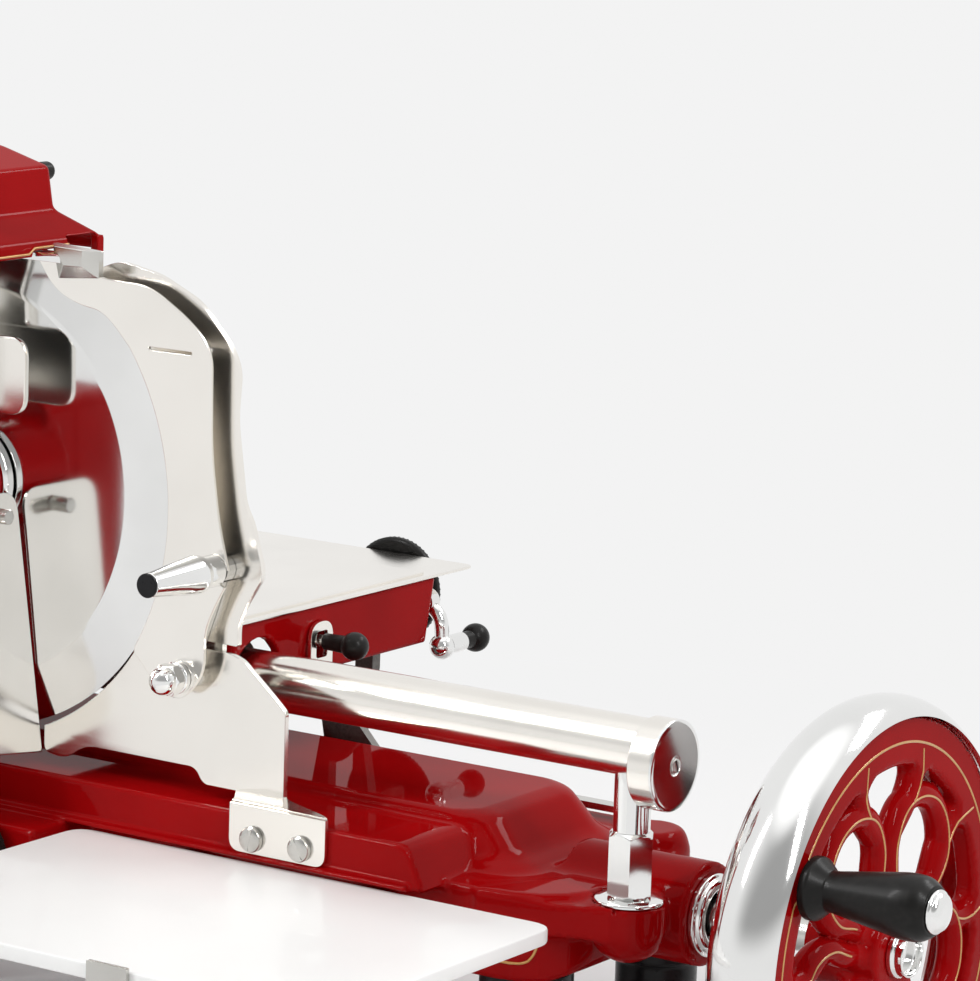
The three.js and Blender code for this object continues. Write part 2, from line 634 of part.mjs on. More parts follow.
function makeGuards(parent) {
  const inner = bladeRadius + sheet.arcGap;
  const back = sheet.front + sheet.thickness;
  const gaugeShape = outline([
    ...scaled(gaugeShares), ...arcPoints(0, 0, inner, -28.5, 57, 14),
  ]);
  const knobHole = bar("y", stud.radius + fitGap, sheet.front - overrun, back + overrun,
    knobSpot.x, knobSpot.z);
  piece(parent, "gauge_plate", without(plate("y", gaugeShape, sheet.front, back), knobHole),
    "nickel");
  const strap = { aside: 8, width: 12, above: 53, below: 17, thickness: 4 };
  const strapLeft = acornSpot.x + strap.aside;
  const strapFront = back + fitGap;
  piece(parent, "gauge_strap", plate("y", oblong([strapLeft, strapLeft + strap.width],
    [acornSpot.z - strap.below, acornSpot.z + strap.above], strap.thickness), strapFront, strapFront + strap.thickness),
  "steel");
  const studs = [[knobSpot, stud.knobLength], [acornSpot, stud.acornLength]].map(
    ([spot, length]) => joined(
      bar("y", stud.radius, guardFront - length, back, spot.x, spot.z),
      bar("y", stud.collar, guardBack + fitGap, sheet.front - fitGap, spot.x, spot.z)));
  const strip = plate("y", outline([
    [acornSpot.x - stud.radius, acornSpot.z], [acornSpot.x + stud.radius, acornSpot.z],
    [knobSpot.x + stud.radius, knobSpot.z], [knobSpot.x - stud.radius, knobSpot.z],
  ]), guardBack + fitGap, sheet.front - fitGap);
  piece(parent, "guard_studs", joined(...studs, strip), "steel");
  const guardArc = bladeRadius + sheet.arcGap * 2;
  const guardShape = outline([
    ...scaled(guardShares), ...arcPoints(0, 0, guardArc, -31, 36, 12),
  ]);
  const slot = { leftShare: 0.9467, rightShare: 1.1533, riseShare: 0.6267, width: 1.8 };
  const slotZ = bladeRadius * slot.riseShare;
  const notch = stud.radius + boltGap;
  const wayTilt = { middleAngle: -26 };
  const wayOut = block([0, bladeRadius], [guardFront - overrun, guardBack + overrun],
    [-notch, notch]).rotate([0, -wayTilt.middleAngle, 0]).translate([knobSpot.x, 0, knobSpot.z]);
  const guard = without(
    plate("y", guardShape, guardFront, guardBack),
    block([bladeRadius * slot.leftShare, bladeRadius * slot.rightShare],
      [guardFront - overrun, guardBack + overrun],
      [slotZ - slot.width / 2, slotZ + slot.width / 2]),
    bar("y", notch, guardFront - overrun, guardBack + overrun, knobSpot.x, knobSpot.z), wayOut,
    bar("y", stud.radius + fitGap, guardFront - overrun, guardBack + overrun, acornSpot.x,
      acornSpot.z));
  piece(parent, "guard_plate", guard, "nickel");
  const nut = { washer: 9.5, washerLength: 4, hex: 10, hexLength: 9, dome: 8.5, domeLength: 9 };
  const nutFace = guardFront - fitGap;
  const hexFace = nutFace - nut.washerLength;
  const domeFace = hexFace - nut.hexLength;
  const acorn = without(
    joined(bar("y", nut.washer, hexFace, nutFace, acornSpot.x, acornSpot.z),
      bar("y", nut.hex, domeFace, hexFace + weldDistance, acornSpot.x, acornSpot.z, 6),
      turned("y", [[0, domeFace - nut.domeLength], [nut.dome * 0.55, domeFace
        - nut.domeLength * 0.85], [nut.dome * 0.9, domeFace - nut.domeLength * 0.45],
      [nut.dome, domeFace + overrun], [0, domeFace + overrun]], acornSpot.x, acornSpot.z)),
    bar("y", stud.radius + fitGap, guardFront - stud.acornLength - runGap,
      nutFace + overrun, acornSpot.x, acornSpot.z));
  piece(parent, "acorn_nut", acorn, "chrome");
  const knob = {
    collar: 9.5, collarLength: 13, shoulder: 11.5, shoulderLength: 5, tip: 7, length: 62,
    tipLength: 2,
  };
  const knobFace = guardFront - fitGap;
  const grip = turned("y", [
    [0, knobFace - knob.length], [knob.tip, knobFace - knob.length],
    [knob.tip, knobFace - knob.length + knob.tipLength],
    [knob.shoulder, knobFace - knob.collarLength - knob.shoulderLength],
    [knob.collar, knobFace - knob.collarLength], [knob.collar, knobFace], [0, knobFace],
  ], knobSpot.x, knobSpot.z, 16);
  const threadHole = bar("y", stud.radius + fitGap, guardFront - stud.knobLength - runGap,
    knobFace + overrun, knobSpot.x, knobSpot.z);
  piece(parent, "guard_knob", without(grip, threadHole), "chrome");
}

// The blade with its spindle and sprocket, turning about Y.
function makeBlade(parent) {
  const bevel = bladeRadius * 0.79;
  const blade = { dish: 1, edge: 0.5, bore: 9 };
  const profile = [
    [0, 0], [bevel * 0.4, 0], [bevel, -blade.dish], [bladeRadius, bladeThickness - blade.edge * 2],
    [bladeRadius, bladeThickness - blade.edge], [bevel, bladeThickness], [0, bladeThickness],
  ];
  piece(parent, "blade", turned("y", profile, 0, 0, 48), "chrome");
  const flange = { radius: 18, thickness: 8 };
  const spindle = turned("y", [
    [0, chain.front - runGap * 2], [cross.radius, chain.front - runGap * 2],
    [cross.radius, -flange.thickness], [flange.radius, -flange.thickness],
    [flange.radius, -fitGap], [0, -fitGap],
  ]);
  const teeth = toothed(0, 0, chain.bladeRadius, chain.bladeRadius - chain.toothDepth,
    chain.bladeToothCount);
  const sprocket = plate("y", outline(teeth), chain.front, chain.front + chain.width);
  piece(parent, "blade_spindle", joined(spindle, sprocket), "steel");
}

// The red housing in front of the blade, its cover, the hub ring and the deflector.
function makeHousing(parent) {
  const foot = housingFootZ;
  const column = outline([
    [housing.footLeft, foot], [housing.footRight, foot],
    [housing.right, housing.headBottom], [housing.right, housing.top, housing.corner],
    [housing.topLeft, housing.top, housing.corner * 2],
  ]);
  const head = oblong([housing.topLeft, housing.right], [housing.headBottom, housing.top],
    housing.corner);
  const body = joined(
    plate("y", column, housing.front, housing.columnBack),
    plate("y", head, housing.front, housing.headBack),
    bar("y", housing.bossRadius, housing.headBack - overrun, -housing.bossGap, 0, 0, fineCount));
  const inset = housing.wall;
  const cavity = outline([
    [housing.footLeft + inset, foot - overrun], [housing.footRight - inset, foot - overrun],
    [housing.right - inset / 2, housing.headBottom],
    [housing.right - inset / 2, housing.top - inset * 2],
    [housing.topLeft + inset * 3, housing.top - inset * 2],
  ]);
  const hollow = plate("y", cavity, housing.front - overrun, housing.cavityBack);
  const bore = bar("y", housing.bore, housing.front - overrun, overrun);
  piece(parent, "blade_housing", without(body, hollow, bore), "red");
  const coverBack = housing.front - fitGap;
  piece(parent, "housing_cover", plate("y", column, coverBack - housing.coverThickness,
    coverBack), "red");
  const hub = { inner: 19, outer: 34, front: 8.7, back: 1.5, lip: 4 };
  piece(parent, "hub_ring", turned("y", [
    [hub.inner, -hub.front], [hub.outer - hub.lip / 2, -hub.front],
    [hub.outer, -hub.front + hub.lip / 2], [hub.outer, -hub.back], [hub.inner, -hub.back],
    [hub.inner, -hub.front],
  ], 0, 0, fineCount), "chrome");
}

function makeDeflector(parent) {
  const deflector = {
    x: 35, front: -68, back: -3, top: -3, footGap: 6, thickness: 2, corner: 14,
    leanAngle: 8.4, bottomRise: 8,
  };
  const thumb = { z: -14, y: -28, radius: 3, head: 4.5, length: 15, reach: 4 };
  const lean = group(parent, deflector.x, 0, deflector.top);
  lean.rotation.y = THREE.MathUtils.degToRad(-deflector.leanAngle);
  const height = platformZ + deflector.footGap - deflector.top;
  const leaf = plate("x", outline([
    [deflector.back, height], [deflector.back, 0, deflector.corner],
    [deflector.front, 0, deflector.corner],
    [deflector.front, height + deflector.bottomRise, deflector.corner],
  ]), 0, deflector.thickness);
  const hole = bar("x", thumb.radius + boltGap * 2, -overrun, deflector.thickness + overrun,
    thumb.y, thumb.z - deflector.top);
  piece(lean, "deflector", without(leaf, hole), "nickel");
  const headX = deflector.x + deflector.thickness + thumb.reach / 2;
  piece(parent, "deflector_screw", joined(
    bar("x", thumb.radius, housing.bossRadius + fitGap, headX + overrun, thumb.y, thumb.z),
    bar("x", thumb.head, headX + runGap, headX + thumb.length, thumb.y, thumb.z)), "steel");
}

// The closed chain that drives the blade from the cross shaft.
function makeDrive(parent) {
  const centre = [cross.x, shaftZ];
  const spacing = Math.hypot(...centre);
  const along = Math.atan2(-centre[1], -centre[0]);
  const tilt = Math.asin((chain.driveRadius - chain.bladeRadius) / spacing);
  const loop = (grow) => {
    const path = new THREE.Shape();
    const big = chain.driveRadius + chain.slack + grow;
    const small = chain.bladeRadius + chain.slack + grow;
    const start = along + quarterTurn - tilt;
    const end = along - quarterTurn + tilt;
    path.absarc(...centre, big, start, end + fullTurn, false);
    path.absarc(0, 0, small, end, start, false);
    path.closePath();
    return path;
  };
  const options = { depth: chain.width, curveSegments: 12, bevelEnabled: false };
  const band = (shape) => solidOf(new THREE.ExtrudeGeometry(shape, options)
    .applyMatrix4(spreads.y).translate(0, chain.front + chain.width, 0));
  piece(parent, "drive_chain", without(band(loop(chain.thickness)), band(loop(0))), "steel");

  const shaft = group(parent, cross.x, 0, shaftZ);
  const gearBack = shaftSetback - cross.gearRadius + cross.faceWidth / 2;
  piece(shaft, "cross_shaft", joined(
    bar("y", cross.radius, cross.front, gearBack - cross.faceWidth / 2),
    bevelGear("y", cross.gearRadius, cross.faceWidth, cross.toothDepth, cross.toothCount,
      gearBack - cross.faceWidth, -1)), "steel");
  const teeth = toothed(0, 0, chain.driveRadius, chain.driveRadius - chain.toothDepth,
    chain.driveToothCount);
  const sprocket = without(plate("y", outline(teeth), chain.front, chain.front + chain.width),
    bar("y", cross.radius + fitGap, chain.front - overrun, chain.front + chain.width + overrun));
  piece(shaft, "drive_sprocket", sprocket, "steel");

  const crankGroup = group(parent, crank.x, 0, shaftZ);
  const stubEnd = crank.armFace;
  const armShape = outline([
    [-crank.armWidth / 2, -crank.armWidth / 2, crank.armWidth / 2],
    [crank.armWidth / 2, -crank.armWidth / 2, crank.armWidth / 2],
    [crank.armWidth / 2, crank.armRadius + crank.armWidth / 2, crank.armWidth / 2],
    [-crank.armWidth / 2, crank.armRadius + crank.armWidth / 2, crank.armWidth / 2],
  ]);
  piece(crankGroup, "crank_gear", joined(
    bevelGear("y", crank.gearRadius, crank.faceWidth, crank.toothDepth, crank.toothCount,
      crankGearFace + crank.faceWidth / 2, 1),
    bar("y", crank.stubRadius, crankGearFace, stubEnd + weldDistance),
    plate("y", armShape, stubEnd, stubEnd + crank.armThickness),
    bar("y", crank.pinRadius, stubEnd, stubEnd + crank.armThickness + crank.pinLength,
      0, crank.armRadius)), "iron");
}

// A bevel gear along an axis: its wide end is at a place, and its teeth narrow against the way.
function bevelGear(axis, radius, width, depth, toothCount, place, way) {
  const coneShare = 0.72;
  const levels = [[1, 0], [coneShare, width]].map(([share, step]) => toothed(0, 0,
    (radius - runGap) * share, (radius - runGap - depth) * share, toothCount).map(([a, b]) => {
    const spot = place - way * step;
    return axis === "y" ? [a, spot, b] : [spot, a, b];
  }));
  return loft(levels);
}

// The flywheel with its shaft and handle, turning about X.
function makeFlywheel(parent) {
  const wheel = group(parent, 0, shaftSetback, shaftZ);
  const rim = { section: 27, lean: 17, frontAngle: 39, backAngle: 105, stepCount: 7 };
  const disc = {
    inner: wheelRadius - 38, outer: wheelRadius - 10.5, thickness: 14, step: wheelRadius - 18,
  };
  const hub = { radius: 25, back: 26, front: 6, bore: 10 };
  const discBack = wheelFace - disc.thickness;
  const centre = [wheelRadius - rim.section, wheelFace - rim.lean];
  const section = arcPoints(centre[1], centre[0], rim.section, rim.frontAngle,
    rim.backAngle, rim.stepCount).map(([x, r]) => [r, x]);
  const seat = disc.outer + fitGap;
  const rimProfile = [
    ...section, [disc.step + fitGap, discBack - fitGap], [seat, wheelFace + fitGap], section[0],
  ];
  piece(wheel, "flywheel_rim", turned("x", rimProfile, 0, 0, 40), "chrome");
  const discProfile = [
    [disc.inner, discBack], [disc.step, discBack], [disc.outer, wheelFace],
    [disc.inner, wheelFace], [disc.inner, discBack],
  ];
  const petal = {
    count: 5, firstAngle: 54, start: 18, tip: wheelRadius - 49, tube: 7.5, side: 6, step: 8,
    branchReach: wheelRadius - 35, spreadShare: 0.2128, waistShare: 0.1135, branchShare: 0.1064,
  };
  const [spread, waist, branch] = [petal.spreadShare, petal.waistShare, petal.branchShare]
    .map((share) => wheelRadius * share);
  const middle = discBack + disc.thickness / 2;
  const parts = [
    turned("x", discProfile, 0, 0, 40),
    bar("x", hub.radius, discBack - hub.back, wheelFace + hub.front),
  ];
  for (let i = 0; i < petal.count; i += 1) {
    const axis = THREE.MathUtils.degToRad(petal.firstAngle + (360 * i) / petal.count);
    const spot = (reach, aside) => [middle,
      reach * Math.cos(axis) - aside * Math.sin(axis),
      reach * Math.sin(axis) + aside * Math.cos(axis)];
    const bodyShares = [[0.2, 0.5], [0.45, 0.95], [0.72, 1.02], [0.92, 0.62]];
    const sides = bodyShares.map(([share, side]) => [
      petal.start + (petal.tip - petal.start) * share, spread * side]);
    const loopPoints = [
      spot(0, 0), ...sides.map(([reach, aside]) => spot(reach, aside)), spot(petal.tip, 0),
      ...sides.reverse().map(([reach, aside]) => spot(reach, -aside)), spot(0, 0),
    ];
    const half = (loopPoints.length - 1) / 2;
    parts.push(tube(loopPoints.slice(0, half + 1).concat([spot(petal.tip, -petal.tube)]),
      petal.tube, petal.side, petal.step));
    parts.push(tube([spot(petal.tip, petal.tube), ...loopPoints.slice(half)],
      petal.tube, petal.side, petal.step));
    for (const way of [-1, 1]) {
      parts.push(tube([
        spot(petal.tip * 0.88, way * waist), spot(petal.tip, way * branch * 1.7),
        spot(petal.branchReach * 0.98, way * branch * 2.6),
      ], petal.tube, petal.side, 3));
    }
  }
  const handleSpot = { radius: wheelRadius - 31, angle: 149.5 };
  const handleAngle = THREE.MathUtils.degToRad(handleSpot.angle);
  const [hy, hz] = [handleSpot.radius * Math.cos(handleAngle),
    handleSpot.radius * Math.sin(handleAngle)];
  const handleBoss = { radius: 12, front: 3 };
  parts.push(bar("x", handleBoss.radius, discBack, wheelFace + handleBoss.front, hy, hz));
  const spindle = { radius: 5, length: 76, depth: 12 };
  const bore = bar("x", hub.bore + fitGap, discBack - hub.back - overrun,
    wheelFace + hub.front + overrun);
  const bossBore = bar("x", spindle.radius + fitGap, wheelFace - spindle.depth - fitGap,
    wheelFace + handleBoss.front + overrun, hy, hz);
  piece(wheel, "flywheel", without(joined(...parts), bore, bossBore), "red");
  const capBack = wheelFace + hub.front + fitGap;
  const cap = { radius: 14, length: 20, hexLength: 8 };
  piece(wheel, "hub_cap", turned("x", [
    [0, capBack], [cap.radius, capBack], [cap.radius, capBack + cap.hexLength],
    [cap.radius * 0.85, capBack + cap.length * 0.7],
    [cap.radius * 0.5, capBack + cap.length * 0.95], [0, capBack + cap.length],
  ]), "chrome");
  const shaftLeft = cross.x + cross.gearRadius - cross.faceWidth / 2;
  piece(wheel, "flywheel_shaft", joined(
    bar("x", shaftRadius, shaftLeft, wheelFace + hub.front - fitGap),
    bevelGear("x", cross.gearRadius, cross.faceWidth, cross.toothDepth, cross.toothCount,
      cross.x + cross.gearRadius + cross.faceWidth / 2, 1),
    bevelGear("x", crank.pinionRadius, crank.faceWidth, crank.toothDepth,
      crank.pinionToothCount, crank.x + crank.gearRadius + crank.faceWidth / 2, 1)),
  "steel");

  const handle = group(wheel, 0, hy, hz);
  piece(handle, "handle_spindle", bar("x", spindle.radius, wheelFace - spindle.depth,
    wheelFace + spindle.length), "steel");
  const gripBack = wheelFace + handleBoss.front + runGap;
  const grip = {
    flange: 17.5, flangeLength: 5, cone: 12, coneLength: 13, neck: 10.5, neckLength: 22,
    belly: 18, bellyLength: 58, end: 14, length: 74, capRadius: 12, capLength: 6,
  };
  const gripProfile = [
    [spindle.radius + fitGap, gripBack], [grip.flange, gripBack],
    [grip.flange, gripBack + grip.flangeLength], [grip.cone, gripBack + grip.coneLength],
    [grip.neck, gripBack + grip.neckLength],
    [grip.neck + (grip.belly - grip.neck) * 0.55, gripBack + grip.bellyLength * 0.75],
    [grip.belly, gripBack + grip.bellyLength],
    [grip.belly * 0.94, gripBack + grip.length - grip.capLength],
    [grip.end, gripBack + grip.length], [spindle.radius + fitGap, gripBack + grip.length],
    [spindle.radius + fitGap, gripBack],
  ];
  piece(handle, "handle_grip", turned("x", gripProfile), "black");
  const capStart = gripBack + grip.length + fitGap;
  piece(handle, "grip_end_cap", turned("x", [
    [0, capStart], [grip.capRadius, capStart],
    [grip.capRadius * 0.8, capStart + grip.capLength * 0.7], [0, capStart + grip.capLength],
  ]), "chrome");
}

// The rocker that the crank swings, with a slot for the crank pin.
function makeRocker(parent) {
  const reach = Math.hypot(carriageStroke / 2, rockerTipRise());
  const arm = group(parent, crank.x, 0, rockerZ);
  arm.rotation.y = -Math.atan2(carriageStroke / 2, rockerTipRise());
  const back = rocker.front + rocker.thickness;
  const shape = outline([
    [-rocker.hub, -rocker.hub, rocker.hub], [rocker.hub, -rocker.hub, rocker.hub],
    [rocker.hub, rocker.hub], [rocker.width / 2 + rocker.pinRadius / 2, rocker.slotOuter],
    [rocker.tipHub, reach + rocker.tipHub, rocker.tipHub],
    [-rocker.tipHub, reach + rocker.tipHub, rocker.tipHub],
    [-rocker.width / 2 - rocker.pinRadius / 2, rocker.slotOuter], [-rocker.hub, rocker.hub],
  ]);
  const body = plate("y", shape, rocker.front, back);
  const slot = plate("y", oblong([-rocker.slotWidth / 2, rocker.slotWidth / 2],
    [rocker.slotInner, rocker.slotOuter], rocker.slotWidth / 2), rocker.front - overrun,
  back + overrun);
  const hole = bar("y", rocker.pivotRadius + fitGap, rocker.front - overrun, back + overrun);
  const pin = bar("y", rocker.pinRadius, rocker.front, back + rocker.pinLength, 0, reach);
  piece(arm, "rocker_arm", joined(without(body, slot, hole), pin), "iron");
}

function rockerTipRise() {
  return deckZ + rail.rise + roller.radius + rearFoot.rise - rockerZ;
}

// The carriage that slides along the rod, at the left end of its stroke.
const carriage = {
  front: 20, back: 227, right: 183, drop: 43, wall: 5, roof: 4.5, draft: 5, corner: 3,
};
const carriageTop = tableZ - 3 - fitGap;
const carriageBottom = carriageTop - carriage.drop + 2;
const feed = {
  x: 120, drop: 26, radius: 6, front: 75, wheelRadius: 33, wheelFront: 270, wheelLength: 14,
  nutHalf: 12, nutLength: 20, pitch: 12,
};
const feedZ = tableZ - feed.drop;
const releaseLever = {
  y: 103, drop: 24, plateHalf: 11, plateTop: 12, plateBottom: 42, plateThickness: 3, stem: 4,
  ball: 8.5, reach: 27, slotHalf: 5.5, slotRise: 6, slotFall: 10, inner: 12,
};
const releaseZ = tableZ - releaseLever.drop;

function makeCarriage(parent) {
  const shell = loft([
    levelRing([tableLeft, carriage.right - carriage.draft / 2],
      [carriage.front, carriage.back - carriage.draft], carriageBottom, carriage.corner),
    levelRing([tableLeft, carriage.right], [carriage.front, carriage.back], carriageTop,
      carriage.corner),
  ]);
  const hollow = block([tableLeft + carriage.wall, carriage.right - carriage.wall * 1.6],
    [carriage.front + carriage.wall, carriage.back - carriage.wall * 2],
    [carriageBottom - overrun, carriageTop - carriage.roof]);
  const rodWay = joined(
    bar("x", rodRadius + runGap * 7, tableLeft - overrun, carriage.right + overrun, rodSetback,
      rodZ),
    block([tableLeft - overrun, carriage.right + overrun],
      [rodSetback - rodRadius - runGap * 7, rodSetback + rodRadius + runGap * 7],
      [carriageBottom - rodRadius, rodZ]));
  const roofCut = carriageTop - carriage.roof;
  const nut = block([feed.x - feed.nutHalf, feed.x + feed.nutHalf],
    [carriage.back - carriage.wall * 2 - feed.nutLength, carriage.back - carriage.wall],
    [feedZ + feed.radius + fitGap, roofCut + runGap]);
  const screwWay = block([feed.x - feed.radius - runGap * 2, feed.x + feed.radius + runGap * 2],
    [carriage.back - carriage.wall * 3, carriage.back + overrun],
    [carriageBottom - overrun, feedZ + feed.radius + fitGap]);
  const leverWay = block([carriage.right - carriage.wall * 3, carriage.right + overrun],
    [releaseLever.y - releaseLever.slotHalf, releaseLever.y + releaseLever.slotHalf],
    [releaseZ - releaseLever.slotFall, releaseZ + releaseLever.slotRise]);
  piece(parent, "carriage_body", without(joined(without(shell, hollow, rodWay), nut),
    screwWay, leverWay), "red");
  const bearing = { left: 0, right: 165, wall: 5.5, webHalf: 10 };
  const sleeve = without(
    joined(bar("x", rodRadius + bearing.wall, tableLeft + carriage.wall * 2, bearing.right,
      rodSetback, rodZ, fineCount),
    block([tableLeft + carriage.wall * 2, bearing.right],
      [rodSetback - bearing.webHalf, rodSetback + bearing.webHalf],
      [rodZ, roofCut - fitGap])),
    bar("x", rodRadius + fitGap, tableLeft - overrun, bearing.right + overrun, rodSetback, rodZ,
      fineCount));
  piece(parent, "rod_bearing", sleeve, "iron");
  const footBottom = deckZ + rail.rise + roller.radius - roller.pin * 2;
  const footShape = outline([
    [rearFoot.x - rearFoot.topHalf, roofCut - fitGap],
    [rearFoot.x + rearFoot.topHalf, roofCut - fitGap],
    [rearFoot.x + rearFoot.topHalf, carriageBottom - rearFoot.bottomHalf],
    [rearFoot.x + rearFoot.bottomHalf, footBottom, rearFoot.bottomHalf / 2],
    [rearFoot.x - rearFoot.bottomHalf, footBottom, rearFoot.bottomHalf / 2],
    [rearFoot.x - rearFoot.topHalf, carriageBottom - rearFoot.bottomHalf],
  ]);
  const footBack = rearFoot.front + rearFoot.thickness;
  const rollerZ = deckZ + rail.rise + roller.radius;
  const slotBottom = rockerZ + rockerTipRise() - rocker.pinRadius - runGap * 3;
  const pinSlot = block(
    [rearFoot.x - rocker.pinRadius - runGap * 4, rearFoot.x + rocker.pinRadius + runGap * 4],
    [rearFoot.front - overrun, footBack + overrun],
    [slotBottom, rockerZ + Math.hypot(carriageStroke / 2, rockerTipRise())
      + rocker.pinRadius + runGap * 3]);
  const rollerBack = footBack + runGap + roller.width;
  const axle = bar("y", roller.pin, rearFoot.front + runGap, rollerBack + runGap, rearFoot.x,
    rollerZ);
  piece(parent, "rear_foot", without(joined(plate("y", footShape, rearFoot.front, footBack),
    axle), pinSlot), "iron");
  piece(parent, "rear_roller", ring("y", roller.pin + fitGap, roller.radius - fitGap,
    footBack + runGap, footBack + runGap + roller.width, rearFoot.x, rollerZ), "steel");
  makeRelease(parent);
  makeLock(parent);
}

function makeRelease(parent) {
  const { y, plateHalf, plateTop, plateBottom, ball, stem, reach, inner } = releaseLever;
  const left = carriage.right + fitGap;
  const right = left + releaseLever.plateThickness;
  const shape = outline([
    [y - plateHalf, tableZ - plateBottom], [y + plateHalf, tableZ - plateBottom],
    [y + plateHalf, tableZ - plateTop, plateHalf], [y - plateHalf, tableZ - plateTop, plateHalf],
  ]);
  const window = block([left - overrun, right + overrun],
    [y - releaseLever.slotHalf, y + releaseLever.slotHalf],
    [releaseZ - releaseLever.slotFall, releaseZ + releaseLever.slotRise]);
  piece(parent, "lever_plate", without(plate("x", shape, left, right), window), "nickel");
  const tip = carriage.right + reach;
  piece(parent, "release_lever", joined(
    turned("x", [
      [0, carriage.right - inner], [stem, carriage.right - inner], [stem, tip - ball * 1.6],
      [stem * 0.8, tip - ball * 0.9], [0, tip],
    ], y, releaseZ, 16),
    solidOf(new THREE.SphereGeometry(ball, 12, sphereCount * 2).translate(tip, y, releaseZ)),
  ), "black");
}

function makeLock(parent) {
  const lock = {
    x: 172, drop: 21, hub: 8, hubLength: 9, armX: 13, armDrop: 27, joint: 8, ferrule: 6,
    ferruleLength: 22, neck: 4.5, ball: 9, reach: 37,
  };
  const z = tableZ - lock.drop;
  const hubFront = carriage.back + fitGap;
  const armY = hubFront + lock.hubLength / 2;
  const end = [lock.x + lock.armX, armY, z - lock.armDrop];
  const curl = tube([
    [lock.x, armY, z], [lock.x + lock.armX * 0.85, armY, z - lock.armDrop * 0.35], end,
  ], lock.neck, 10, 6);
  const lever = joined(
    bar("y", lock.hub, hubFront, hubFront + lock.hubLength, lock.x, z), curl,
    solidOf(new THREE.SphereGeometry(lock.joint, 10, sphereCount * 2).translate(...end)),
    bar("y", lock.ferrule, end[1], end[1] + lock.ferruleLength, end[0], end[2]),
    bar("y", lock.neck, end[1], end[1] + lock.reach, end[0], end[2]),
    solidOf(new THREE.SphereGeometry(lock.ball, 10, sphereCount * 2)
      .translate(end[0], end[1] + lock.reach, end[2])));
  piece(parent, "feed_lock_lever", lever, "chrome");
}

// The meat table on the carriage, its feed screw and the meat press.
function makeTable(parent) {
  const top = { thickness: 3, step: 1.3, inset: 7, backInset: 44, corner: 8 };
  const flange = { half: 18, depth: 4, drop: 40 };
  const under = tableZ - top.thickness;
  const sheetPlan = outline([
    [tableLeft, tableFront], [tableRight, tableFront], [tableRight, tableBack, top.corner],
    [tableLeft, tableBack, top.corner],
  ]);
  const lower = plate("z", sheetPlan, under, tableZ - top.step);
  const upper = plate("z", oblong([tableLeft, tableRight - top.inset],
    [tableFront, tableBack - top.backInset], 0), tableZ - top.step - overrun / 2, tableZ);
  const backFlange = without(
    block([feed.x - flange.half, feed.x + flange.half], [tableBack - flange.depth, tableBack],
      [tableZ - flange.drop, under + top.step]),
    bar("y", feed.radius + fitGap, tableBack - flange.depth * 2, tableBack + flange.depth,
      feed.x, feedZ));
  piece(parent, "meat_table", joined(lower, upper, backFlange), "nickel");
  const press = {
    x: -38, y: 204, radius: 8, foot: 15, footHeight: 6, top: 66, sleeve: 13, low: 20,
    height: 20, plateThickness: 4, plateLeft: -52, plateRight: 24, plateFront: 92, neck: 8,
    tooth: 3, toothHeight: 9, knob: 9, knobLength: 20,
  };
  piece(parent, "press_post", turned("z", [
    [0, tableZ + fitGap], [press.foot, tableZ + fitGap],
    [press.foot, tableZ + fitGap + press.footHeight],
    [press.radius, tableZ + fitGap + press.footHeight], [press.radius, press.top],
    [0, press.top],
  ], press.x, press.y), "chrome");
  const shoe = plate("z", oblong([press.plateLeft, press.plateRight],
    [press.plateFront, press.y - press.sleeve * 1.5], press.neck), press.low,
  press.low + press.plateThickness);
  const rows = { alongCount: 3, acrossCount: 3 };
  const teeth = [];
  for (let i = 0; i < rows.alongCount; i += 1) {
    for (let j = 0; j < rows.acrossCount; j += 1) {
      const alongShare = (i + 0.7) / rows.alongCount;
      const acrossShare = (j + 0.5) / rows.acrossCount;
      const x = press.plateLeft + (press.plateRight - press.plateLeft) * acrossShare;
      const y = press.plateFront + (press.y - press.sleeve * 2 - press.plateFront) * alongShare;
      teeth.push(turned("z", [[0, press.low - press.toothHeight], [press.tooth, press.low
        + press.plateThickness / 2], [0, press.low + press.plateThickness / 2]], x, y, 6));
    }
  }
  const sleeve = without(
    joined(bar("z", press.sleeve, press.low, press.low + press.height, press.x, press.y),
      block([press.x - press.neck, press.x + press.neck],
        [press.y - press.sleeve * 3, press.y - press.radius],
        [press.low, press.low + press.neck]),
      bar("y", press.knob / 3, press.y, press.y + press.sleeve + press.knobLength / 2,
        press.x, press.low + press.height / 2),
      bar("y", press.knob, press.y + press.sleeve + press.knobLength / 3,
        press.y + press.sleeve + press.knobLength, press.x, press.low + press.height / 2)),
    bar("z", press.radius + fitGap, press.low - overrun, press.low + press.height + overrun,
      press.x, press.y));
  piece(parent, "press_arm", joined(shoe, sleeve, ...teeth), "chrome");

  const screwBack = feed.wheelFront - fitGap;
  piece(parent, "feed_screw", bar("y", feed.radius, feed.front, screwBack, feed.x, feedZ),
    "steel");
  const wheelEnd = feed.wheelFront + feed.wheelLength;
  piece(parent, "feed_handwheel", turned("y", [
    [0, feed.wheelFront], [feed.wheelRadius, feed.wheelFront],
    [feed.wheelRadius, feed.wheelFront + feed.wheelLength * 0.35],
    [feed.wheelRadius * 0.8, wheelEnd - feed.wheelLength * 0.25],
    [feed.wheelRadius * 0.3, wheelEnd], [0, wheelEnd],
  ], feed.x, feedZ), "black");
}

